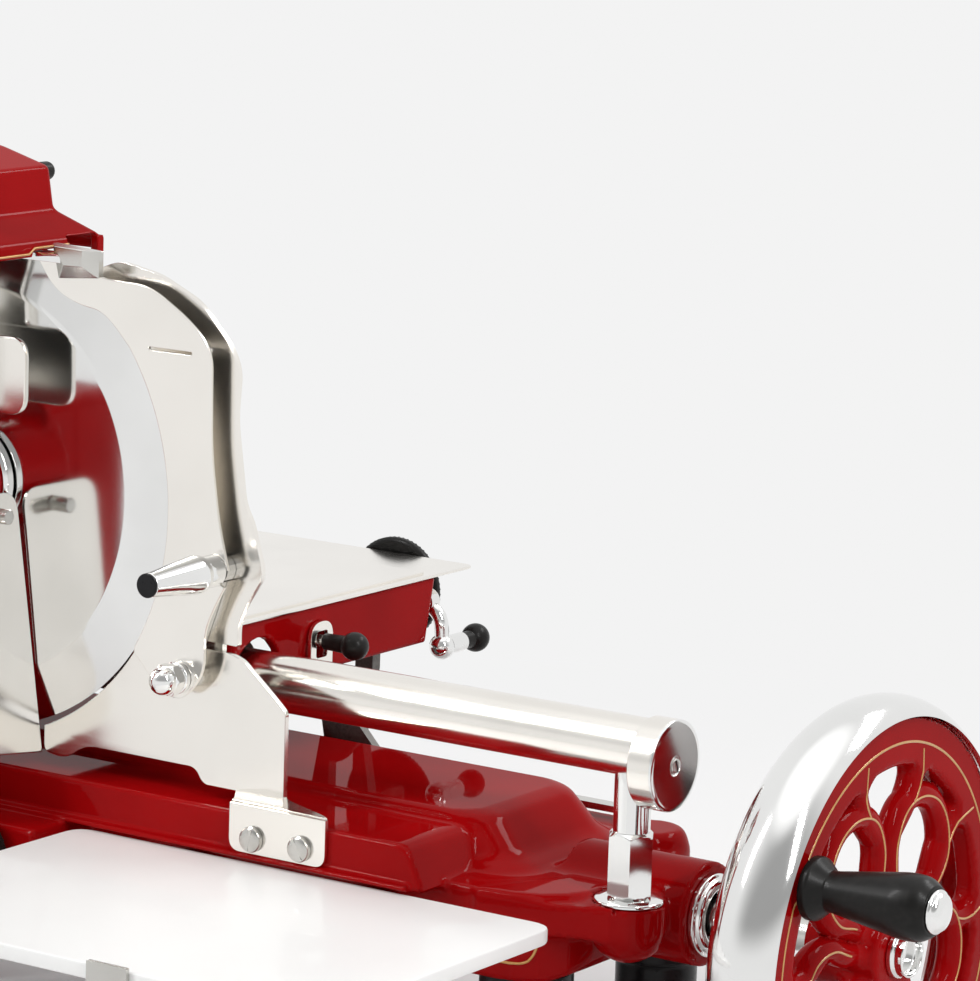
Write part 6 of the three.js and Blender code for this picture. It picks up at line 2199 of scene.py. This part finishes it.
@dataclass
class Carriage(Assembly):
    """The red carriage with its bearing, release lever and lock lever."""

    left: float = -60.0
    right: float = 183.0
    top: float = -68.3
    bottom: float = -109.3
    rod: tuple = (45.0, -103.0)
    cell: float = 2.2

    def form(self) -> Form:
        """The carriage's casting.

        Returns:
            The form.
        """
        shell = heap_form([(self.bottom, self.left, self.right - 2.5, 20, 222, 4),
                           (self.top, self.left, self.right, 20, 227, 4)], 1.6)
        hollow = block_form((-55, 175), (25, 217), (-130, -72.8), 2)
        way = bar_form("x", 24, -70, 190, self.rod).joined(
            block_form((-70, 190), (21, 69), (-130, -103)))
        nut_block = block_form((108, 132), (197, 222), (-84.7, -71.8), 0.8)
        whole = shell.without(hollow, 1).without(way, 1).joined(nut_block, 1)
        whole = whole.without(block_form((112, 128), (212, 230), (-120, -84.7)), 0.6)
        return whole.without(block_form((168, 190), (97.5, 108.5), (-99, -83)), 0.6)

    def build(self) -> None:
        """Makes the carriage and its levers."""
        shape = self.form().skinned((-62, 18, -111), (185, 229, -66), self.cell)
        self.piece("carriage_body", shape, "carriage_body")
        self.release()
        self.lock()
        self.piece("rear_roller", sleeve("y", 3.3, 5.7, 185, 192, (150, -174), 0.4, 48),
                   "rear_roller")

    def release(self) -> None:
        """Makes the slotted plate and the small lever with a black ball."""
        plate = eased([(92, -107, 1.5), (114, -107, 1.5), (114, -77, 10.5), (92, -77, 10.5)],
                      0, 8)
        window = oblong((97.5, 108.5), (-99, -83), 2.0, 4)
        self.piece("lever_plate", slab("x", plate, 183.3, 186.3, 0.5, [window]),
                   "lever_plate")
        y, z = 103, -89
        stem = lathe("x", [(0, 171), (4, 171), (4, 189), (3.3, 190), (0, 190)], (y, z), 40)
        self.piece("release_lever_stem", stem, "release_lever", slot=Slot.STEEL)
        self.piece("release_lever", lathe("x", pear(188.5, 210.0, 8.5, 5.0), (y, z), 64),
                   "release_lever")

    def lock(self) -> None:
        """Makes the bent lock lever at the back."""
        parts = round_bar("y", 8, 227.3, 236.3, (172, -86), 1.0, 64)
        arm = hose([(172, 231.8, -86), (183, 231.8, -95.5), (185, 231.8, -113)], 4.5, 28, 10)
        x, z = 185, -113
        neck = lathe("y", eased([(0, 231), (6, 236, 1), (6, 253.5, 1), (4.5, 255, 1),
                                 (4.5, 262), (0, 262)], 0, 4, closed=False), (x, z), 48)
        self.piece("feed_lock_lever", parts, "feed_lock_lever")
        self.piece("feed_lock_arm", arm, "feed_lock_lever")
        self.piece("feed_lock_neck", neck, "feed_lock_lever")
        ball = [(8 * math.sin(a), 231.8 - 8 * math.cos(a))
                for a in np.radians(np.linspace(0, 180, 29))]
        ball[0], ball[-1] = (0, ball[0][1]), (0, ball[-1][1])
        self.piece("feed_lock_joint", lathe("y", ball, (x, z), 56), "feed_lock_lever")
        self.piece("feed_lock_ball", lathe("y", pear(254.0, 268.8, 9.0, 5.2), (x, z), 64),
                   "feed_lock_lever", slot=Slot.BLACK)


@dataclass
class MeatTable(Assembly):
    """The polished table, its meat press and its feed screw with a handwheel."""

    top: float = -65.0
    feed: tuple = (120.0, -91.0)

    def build(self) -> None:
        """Makes the table and what stands on it."""
        lower = eased([(-60, 12, 0.5), (185, 12, 0.5), (185, 266, 8), (-60, 266, 8)], 0, 8)
        upper = eased([(-60, 12, 0.5), (178, 12, 0.5), (178, 222, 4), (-60, 222, 4)], 0, 6)
        self.piece("meat_table", slab("z", lower, -68, -66.3, 0.5), "meat_table")
        self.piece("meat_table_bed", slab("z", upper, -67, self.top, 0.5), "meat_table")
        flange = eased([(102, -105, 4), (138, -105, 4), (138, -67), (102, -67)], 0, 5)
        hole = arc(6.3, 0, 345, 23, self.feed)
        self.piece("meat_table_flange", slab("y", flange, 262, 266, 0.5, [hole]),
                   "meat_table")
        self.press()
        self.screw()

    def press(self) -> None:
        """Makes the press post, its arm, plate, teeth and knob."""
        x, y = -38, 204
        post = [(0, -64.7), (15, -64.7, 0.8), (15, -60, 1.6), (9.5, -57.6, 1.6),
                (8, -55.5, 1.5), (8, 64.6, 1.2), (6.6, 66, 0.5), (0, 66)]
        self.turned("press_post", "z", post, (x, y), 80, "press_post")
        self.piece("press_plate", slab("z", oblong((-52, 24), (92, 184.5), 8, 6), 20, 24, 0.7),
                   "press_arm")
        self.piece("press_sleeve", sleeve("z", 8.3, 13, 20, 40, (x, y), 0.9, 72), "press_arm")
        web = slab("z", oblong((-46, -30), (165, 194), 2, 4), 20, 28, 0.8)
        self.piece("press_web", web, "press_arm")
        self.piece("press_screw", round_bar("y", 3, 216, 222, (x, 30), 0.3, 32), "press_arm")
        self.piece("press_knob", round_bar("y", 8.7, 221.3, 237, (x, 30), 1.4, 64),
                   "press_arm", slot=Slot.BLACK)
        rib = slab("z", [(8.3, -0.55), (9, -0.3), (9, 0.3), (8.3, 0.55)], 0, 12.6, 0.1)
        self.copies("press_knob_ribs", rib, 28, (-math.pi / 2, 0, 0), (x, 222.8, 30),
                    Slot.BLACK, "press")
        spike = lathe("z", [(0, 0), (0.5, 0.3), (3, 9.4), (0, 9.4)], (0, 0), 24)
        self.pattern("press_teeth", "rows", {
            "Along": 3, "Across": 3, "Step Along": (25.333 * MM, 0, 0),
            "Step Across": (0, 28.667 * MM, 0),
            "Start": (-39.33 * MM, 109.2 * MM, 11 * MM)}, Slot.CHROME, "press", part=spike)

    def screw(self) -> None:
        """Makes the feed screw's core, its thread and its handwheel."""
        x, z = self.feed
        self.piece("feed_screw", round_bar("y", 5.3, 75, 269.7, (x, z), 0.6, 40), "feed_screw")
        turns, pitch, parts = 46, 4.0, 20
        path = [(x + 5.3 * math.cos(math.tau * i / parts), 77 + pitch * i / parts,
                 z + 5.3 * math.sin(math.tau * i / parts)) for i in range(turns * parts)]
        self.pattern("feed_screw_thread", "bead", {"Width": 0.65 * MM, "Sides": 6},
                     Slot.STEEL, "feed", path=path)
        wheel = [(0, 270), (31, 270, 1), (33, 271.5, 1.5), (33, 276, 2.2), (27, 280.5, 4),
                 (14, 281.8, 4), (10, 284, 1.4), (0, 284)]
        self.turned("feed_handwheel", "y", wheel, (x, z), 128, "feed_handwheel", steps=6)
        rib = slab("z", [(32.3, -0.8), (33, -0.5), (33, 0.5), (32.3, 0.8)], 0, 4, 0.12)
        self.copies("feed_handwheel_grip", rib, 60, (-math.pi / 2, 0, 0), (x, 271.7, z),
                    Slot.BLACK, "feed")


# The sharpener

@dataclass
class Sharpener(Assembly):
    """The red hood over the blade, its carrier and the stone on its pusher."""

    cell: float = 1.5

    def rows(self, grow: float, lower: float, upper: float) -> list:
        """The hood's levels, grown by an amount.

        Args:
            grow: how far each side is moved out.
            lower: how far the lowest level is raised.
            upper: how far the upper levels are raised.

        Returns:
            The levels.
        """
        def row(z: float, left: float, right: float, front: float, back: float) -> tuple:
            """One level."""
            return (z, left - grow, right + grow, front - grow, back + grow, 5 + grow / 2)

        made = [row(141 + lower, -70, 70, -90, 35), row(149 + upper / 2, -70, 70, -90, 35),
                row(164 + upper, -50, 50, -70, 15), row(189 + upper, -47, 47, -67, 13.5),
                row(199 + upper, -11, 11, -64, 12)]
        return soft_rows(made, 3.0)

    def form(self) -> Form:
        """The hood's shell.

        Returns:
            The form.
        """
        shell = heap_form(self.rows(0, 0, 0), 1.2).without(
            heap_form(self.rows(-2.5, -4, -2.5), 0.5))
        shell = shell.joined(block_form((65, 70), (28, 35), (136.6, 149), 1), 0.6)
        for y_span, top in (((-30, 4), 144.6), ((2, 28.5), 150.5)):
            shell = shell.without(block_form((50, 75), y_span, (130, top), 1), 0.4)
        return shell.without(bar_form("y", 3.5, 5, 22, (31, 184)), 0.3)

    def build(self) -> None:
        """Makes the sharpener."""
        shape = self.form().skinned((-72, -92, 135), (72, 37, 201), self.cell)
        self.piece("sharpener_hood", shape, "sharpener_hood")
        line = eased([(70.1, -34, 0), (70.1, -90.1, 5), (-70.1, -90.1, 5), (-70.1, 35.1, 5),
                      (66, 35.1, 0)], 0, 8, closed=False)
        spots = [(70.1, 2, 146.2), (70.1, -29, 146.2)] + [(x, y, 143.0) for x, y in line]
        dropped = self.form().dropped(np.array(spots), 3, 2)
        self.gold_line("hood_gold_line", 0.7, "hood", dropped)
        self.carrier()
        self.pusher()

    def carrier(self) -> None:
        """Makes the carrier: riser, crossbar, guide plate, post and catch."""
        self.piece("carrier_riser", slab("z", oblong((-22, 12), (-64, -46), 1.5, 4), 42.3,
                                         149, 0.6), "sharpener_carrier")
        bar = eased([(-50, -64, 1), (50, -64, 1), (50, -28, 0.5), (88, -28, 1),
                     (88, -14.5, 1), (-50, -14.5, 1)], 0, 4)
        self.piece("carrier_crossbar", slab("z", bar, 139, 144, 0.6), "sharpener_carrier")
        front = [(83, 148.6, 0.6), (104.5, 148.2, 0.6), (104.5, 138, 0.6), (90, 137.6, 0.6)]
        back = [(75, 149, 0.6), (109.5, 147, 0.6), (109.5, 131.6, 0.6), (80, 129, 0.6)]
        rings = [spread("y", *inset(wound(eased(row, 0, 3), True), step).T, np.full(16, y))
                 for row, y, step in ((front, -28, 0.5), (front, -27.6, 0), (back, -19, 0),
                                      (back, -15, 0), (back, -14.5, 0.5))]
        self.piece("carrier_catch", loft(rings), "sharpener_carrier", slot=Slot.STEEL)
        self.piece("carrier_post", round_bar("z", 5, 147, 195.9, (0, -55), 1.2, 48),
                   "sharpener_carrier")
        plate = eased([(-62, 46, 12), (60, 46, 12), (60, 92, 12), (24, 92, 4), (24, 149, 1),
                       (-24, 149, 1), (-24, 92, 4), (-62, 92, 12)], 0, 7)
        self.piece("carrier_plate", slab("y", plate, -24, -20, 1.2), "sharpener_carrier",
                   slot=Slot.NICKEL)

    def pusher(self) -> None:
        """Makes the knob, its stem and the stone."""
        middle = (31, 184)
        knob = [(0, 20), (4.4, 20, 0.6), (5.6, 21.6, 1), (5.6, 29, 1.4), (4.2, 31, 1),
                (0, 31)]
        self.turned("stone_pusher_knob", "y", knob, middle, 64, "stone_pusher")
        self.piece("stone_pusher_stem", round_bar("y", 3, 6, 22, middle, 0.3, 32),
                   "stone_pusher", slot=Slot.STEEL)
        arm = slab("y", oblong((28, 34), (152, 186), 2, 4), 6, 10, 0.5)
        self.piece("stone_pusher_arm", arm, "stone_pusher", slot=Slot.STEEL)
        self.piece("sharpening_stone", round_bar("y", 12, 9.5, 13.5, (31, 143), 0.6, 64),
                   "stone_pusher", slot=Slot.STONE)


def pear(start: float, middle: float, radius: float, neck: float) -> list:
    """The profile of a ball knob that widens from a neck.

    Args:
        start: where the neck starts.
        middle: where the ball's middle is.
        radius: the ball's radius.
        neck: the neck's radius.

    Returns:
        Pairs of radius and place.
    """
    made = [(0, start), (neck - 0.6, start), (neck, start + 0.6)]
    turn = math.asin((neck + 0.4) / radius)
    first = (neck + 0.4, middle - radius * math.cos(turn))
    made += [(neck + 0.1, (start + first[1]) / 2), first]
    made += [(radius * math.sin(a), middle - radius * math.cos(a))
             for a in np.linspace(turn, math.pi, 28)[1:-1]]
    return made + [(0, middle + radius)]


def soft_rows(rows: Sequence[Sequence[float]], reach: float, steps: int = 5) -> list:
    """Rounds the corners between a heap's levels.

    Args:
        rows: the levels.
        reach: how far a corner's rounding goes.
        steps: the number of pieces in one corner.

    Returns:
        The rounded levels.
    """
    levels = np.array(rows, float)
    made = [levels[0]]
    for before, here, after in zip(levels, levels[1:], levels[2:]):
        first, second = before - here, after - here
        sizes = [max(np.abs(way[:3]).max(), 1e-6) for way in (first, second)]
        start = here + first * min(reach / sizes[0], 0.5)
        end = here + second * min(reach / sizes[1], 0.5)
        made += [(1 - t) ** 2 * start + 2 * t * (1 - t) * here + t * t * end
                 for t in np.linspace(0, 1, steps + 1)]
    return [tuple(row) for row in made + [levels[-1]]]


# The tray and the thickness dial

@dataclass
class Tray(Assembly):
    """The white tray, the clips under it and the thickness dial."""

    top: float = -194.0
    under: float = -203.0
    clip_places: tuple = ((160.0, 187.0), (288.0, 315.0))

    def build(self) -> None:
        """Makes the tray, its clips and the dial."""
        plan = oblong((100, 436), (-240, -17), 16, 12)
        self.piece("receiving_tray", slab("z", plan, self.under, self.top, 1.6),
                   "receiving_tray")
        for i, (left, right) in enumerate(self.clip_places):
            path = [(-243.3, -191.3), (-243.3, -206.3, 4), (4.7, -206.3, 0), (4.7, -203.3, 0),
                    (-240.3, -203.3, 1), (-240.3, -191.3)]
            self.piece(f"tray_clip_{i + 1}", slab("x", eased(path, 0, 6), left, right, 0.5),
                       "tray_support")
        tie = oblong((160, 315), (-220.3, -203.3), 3, 5)
        self.piece("tray_tie", slab("y", tie, 1.7, 4.7, 0.5), "tray_support")
        self.dial()

    def dial(self) -> None:
        """Makes the black dial with its rim, ribs, marks and knob."""
        middle = (50, -212)
        profile = [(0, -77), (10.4, -77, 1), (12, -75.4, 1), (12, -70, 1), (13.5, -69, 1),
                   (25, -69, 1.6), (29.2, -66, 1), (29.2, -57, 1), (28, -56, 0.6), (11, -56, 1),
                   (11, -50.3, 0.5), (0, -50.3)]
        self.turned("thickness_dial", "y", profile, middle, 144, "thickness_dial")
        rib = slab("z", [(28.8, -1.0), (30, -0.55), (30, 0.55), (28.8, 1.0)], 0, 8, 0.2)
        self.copies("dial_ribs", rib, 40, (-math.pi / 2, 0, 0), (50, -65.5, -212),
                    Slot.BLACK, "dial")
        mark = slab("z", [(18, -0.3), (23, -0.3), (23, 0.3), (18, 0.3)], 0, 0.3, 0.05)
        self.copies("dial_marks", mark, 30, (math.pi / 2, 0, 0), (50, -68.95, -212),
                    Slot.WHITE, "dial", start=0.4, full=36)


# The drive inside

@dataclass
class ChainDrive(Assembly):
    """The chain from the cross shaft to the blade."""

    low: tuple = (-45.0, -206.0)
    big: float = 32.6
    small: float = 14.6
    side: float = -91.0
    links: int = 72

    def path(self) -> list:
        """The chain's path round both sprockets.

        Returns:
            The points.
        """
        along = math.atan2(-self.low[1], -self.low[0])
        tilt = math.asin((self.big - self.small) / math.hypot(*self.low))
        start = math.degrees(along + math.pi / 2 - tilt)
        end = math.degrees(along - math.pi / 2 + tilt)
        flat = arc(self.big, start, end + 360, 40, self.low) + arc(self.small, end, start, 20)
        return [(x, self.side, z) for x, z in flat]

    def build(self) -> None:
        """Makes the chain's links and its two strands of plates."""
        link = slab("y", eased([(-3.6, -1.9, 1.6), (3.6, -1.9, 1.6), (3.6, 1.9, 1.6),
                                (-3.6, 1.9, 1.6)], 0, 4), -3.9, -2.7, 0.2)
        roller = round_bar("y", 1.5, -2.8, 2.8, (0, 0), 0.2, 16)
        shape = link + link.moved(0, 6.6, 0) + roller
        chain = self.pattern("drive_chain", "links", {"Count": self.links}, Slot.STEEL,
                             "base", part=shape, path=self.path(), closed=True)
        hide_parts("drive_chain")
        self.shop.shown.add("drive_chain")


# The stage

@dataclass
class Studio(Assembly):
    """The pale floor, soft lamps, world light and camera."""

    stand: float = -366.0
    blade_to_camera: tuple = (1720.0, -2028.6, 463.5)
    turn: float = 33.62
    lift: float = 9.91
    roll: float = 1.826
    lens: float = 165.14
    floor_size: float = 60.0
    white: float = 0.896
    world_strength: float = 0.55
    room_dark: float = 0.5

    def build(self) -> None:
        """Sets the floor, lamps, world and camera."""
        self.floor()
        self.world()
        self.lamps()
        self.camera()
        view = bpy.context.scene.view_settings
        view.view_transform = "Standard"

    def floor(self) -> None:
        """Makes the floor: diffuse near the object and plain white farther out."""
        half = self.floor_size / 2
        mesh = bpy.data.meshes.new("floor")
        x, y, z = self.shop.origin + np.array([0, 0, self.stand * MM])
        mesh.from_pydata([(x - half, y - half, z), (x + half, y - half, z),
                          (x + half, y + half, z), (x - half, y + half, z)], [],
                         [(0, 1, 2, 3)])
        floor = bpy.data.objects.new("floor", mesh)
        bpy.context.scene.collection.objects.link(floor)
        paint = Paint("floor")
        matt = paint.add("ShaderNodeBsdfDiffuse", None, {
            "Color": (0.86, 0.86, 0.86, 1), "Roughness": 1.0})
        glow = paint.add("ShaderNodeEmission", None, {
            "Color": (self.white, self.white, self.white, 1), "Strength": 1.0})
        away = paint.add("ShaderNodeVectorMath", {"operation": "DISTANCE"}, {
            0: paint.place, 1: (x + 0.25, y + 0.1, z)})
        share = Wire(paint, away.outputs["Value"]).between(0.55, 1.3)
        mixed = paint.add("ShaderNodeMixShader", None, {
            0: share, 1: paint.out(matt), 2: paint.out(glow)})
        paint.feed(paint.exit.inputs["Surface"], paint.out(mixed))
        mesh.materials.append(paint.material)

    def world(self) -> None:
        """Sets the world: white to the camera and mirrors, softer as a light."""
        world = bpy.data.worlds.new("studio")
        bpy.context.scene.world = world
        world.use_nodes = True
        graph = Graph(world.node_tree)
        graph.tree.nodes.clear()
        path = graph.add("ShaderNodeLightPath")
        camera, mirror = (Wire(graph, path.outputs[name])
                          for name in ("Is Camera Ray", "Is Glossy Ray"))
        way = graph.out(graph.add("ShaderNodeTexCoord"), "Generated")
        part = graph.add("ShaderNodeSeparateXYZ", None, {0: way})
        x, y, z = (graph.out(part, i) for i in range(3))
        a = math.radians(self.turn)
        behind = x * math.sin(a) - y * math.cos(a)
        dark = behind.between(0.1, 0.75) * z.between(0.02, 0.3) * (1 - z.between(0.75, 0.9))
        studio = self.white + z.between(0.8, 0.95) * 0.4 - dark * self.room_dark
        plain = self.world_strength * (1 - camera - mirror) + self.white * camera
        strength = plain + studio * mirror
        light = graph.add("ShaderNodeBackground", None, {
            "Color": (1, 1, 1, 1), "Strength": strength})
        leave = graph.add("ShaderNodeOutputWorld")
        graph.feed(leave.inputs["Surface"], graph.out(light))

    def lamps(self) -> None:
        """Hangs three soft lamps."""
        for name, place, size, power in (
                ("key", (-1000, -1400, 1600), (0.30, 1.3), 26.0),
                ("fill", (1700, -500, 1000), (0.20, 1.0), 11.0),
                ("back", (1100, 1400, 1500), (1.3, 0.4), 14.0)):
            lamp = bpy.data.lights.new(name, "AREA")
            lamp.shape, lamp.energy = "RECTANGLE", power
            lamp.size, lamp.size_y = size
            holder = bpy.data.objects.new(name, lamp)
            bpy.context.scene.collection.objects.link(holder)
            spot = Vector(self.shop.origin + np.array(place) * MM)
            target = Vector(self.shop.origin + np.array((150, 60, -150)) * MM)
            holder.location = spot
            holder.rotation_euler = (target - spot).to_track_quat("-Z", "Y").to_euler()

    def camera(self) -> None:
        """Places the camera where the photo was taken."""
        a, e, q = (math.radians(v) for v in (self.turn, self.lift, self.roll))
        side = Vector((math.cos(a), math.sin(a), 0))
        back = Vector((math.sin(a) * math.cos(e), -math.cos(a) * math.cos(e), math.sin(e)))
        up = side.cross(-back)
        right = math.cos(q) * side + math.sin(q) * up
        up = -math.sin(q) * side + math.cos(q) * up
        data = bpy.data.cameras.new("camera")
        data.lens, data.sensor_width = self.lens, 36.0
        data.clip_start, data.clip_end = 0.1, 100.0
        camera = bpy.data.objects.new("camera", data)
        bpy.context.scene.collection.objects.link(camera)
        place = self.shop.origin + np.array(self.blade_to_camera) * MM
        camera.matrix_world = Matrix([(right[i], up[i], back[i], place[i]) for i in range(3)]
                                     + [(0, 0, 0, 1)])
        bpy.context.scene.camera = camera


def main() -> None:
    """Builds every sub-assembly in order."""
    logging.basicConfig(level=logging.INFO, format="%(name)s: %(message)s")
    shop = Workshop(frame)
    wheel = Flywheel(shop)
    parts = [BaseCasting(shop), Legs(shop), SlideRod(shop), ShaftEnd(shop), Plates(shop),
             Blade(shop), BladeHousing(shop), wheel, CrankHandle(shop, wheel.handle_spot()),
             Carriage(shop), MeatTable(shop), Sharpener(shop), Tray(shop), ChainDrive(shop)]
    for part in parts:
        log.info("building %s", type(part).__name__)
        part.build()
    shop.keep_rest()
    Studio(shop).build()


if __name__ == "__main__":
    main()
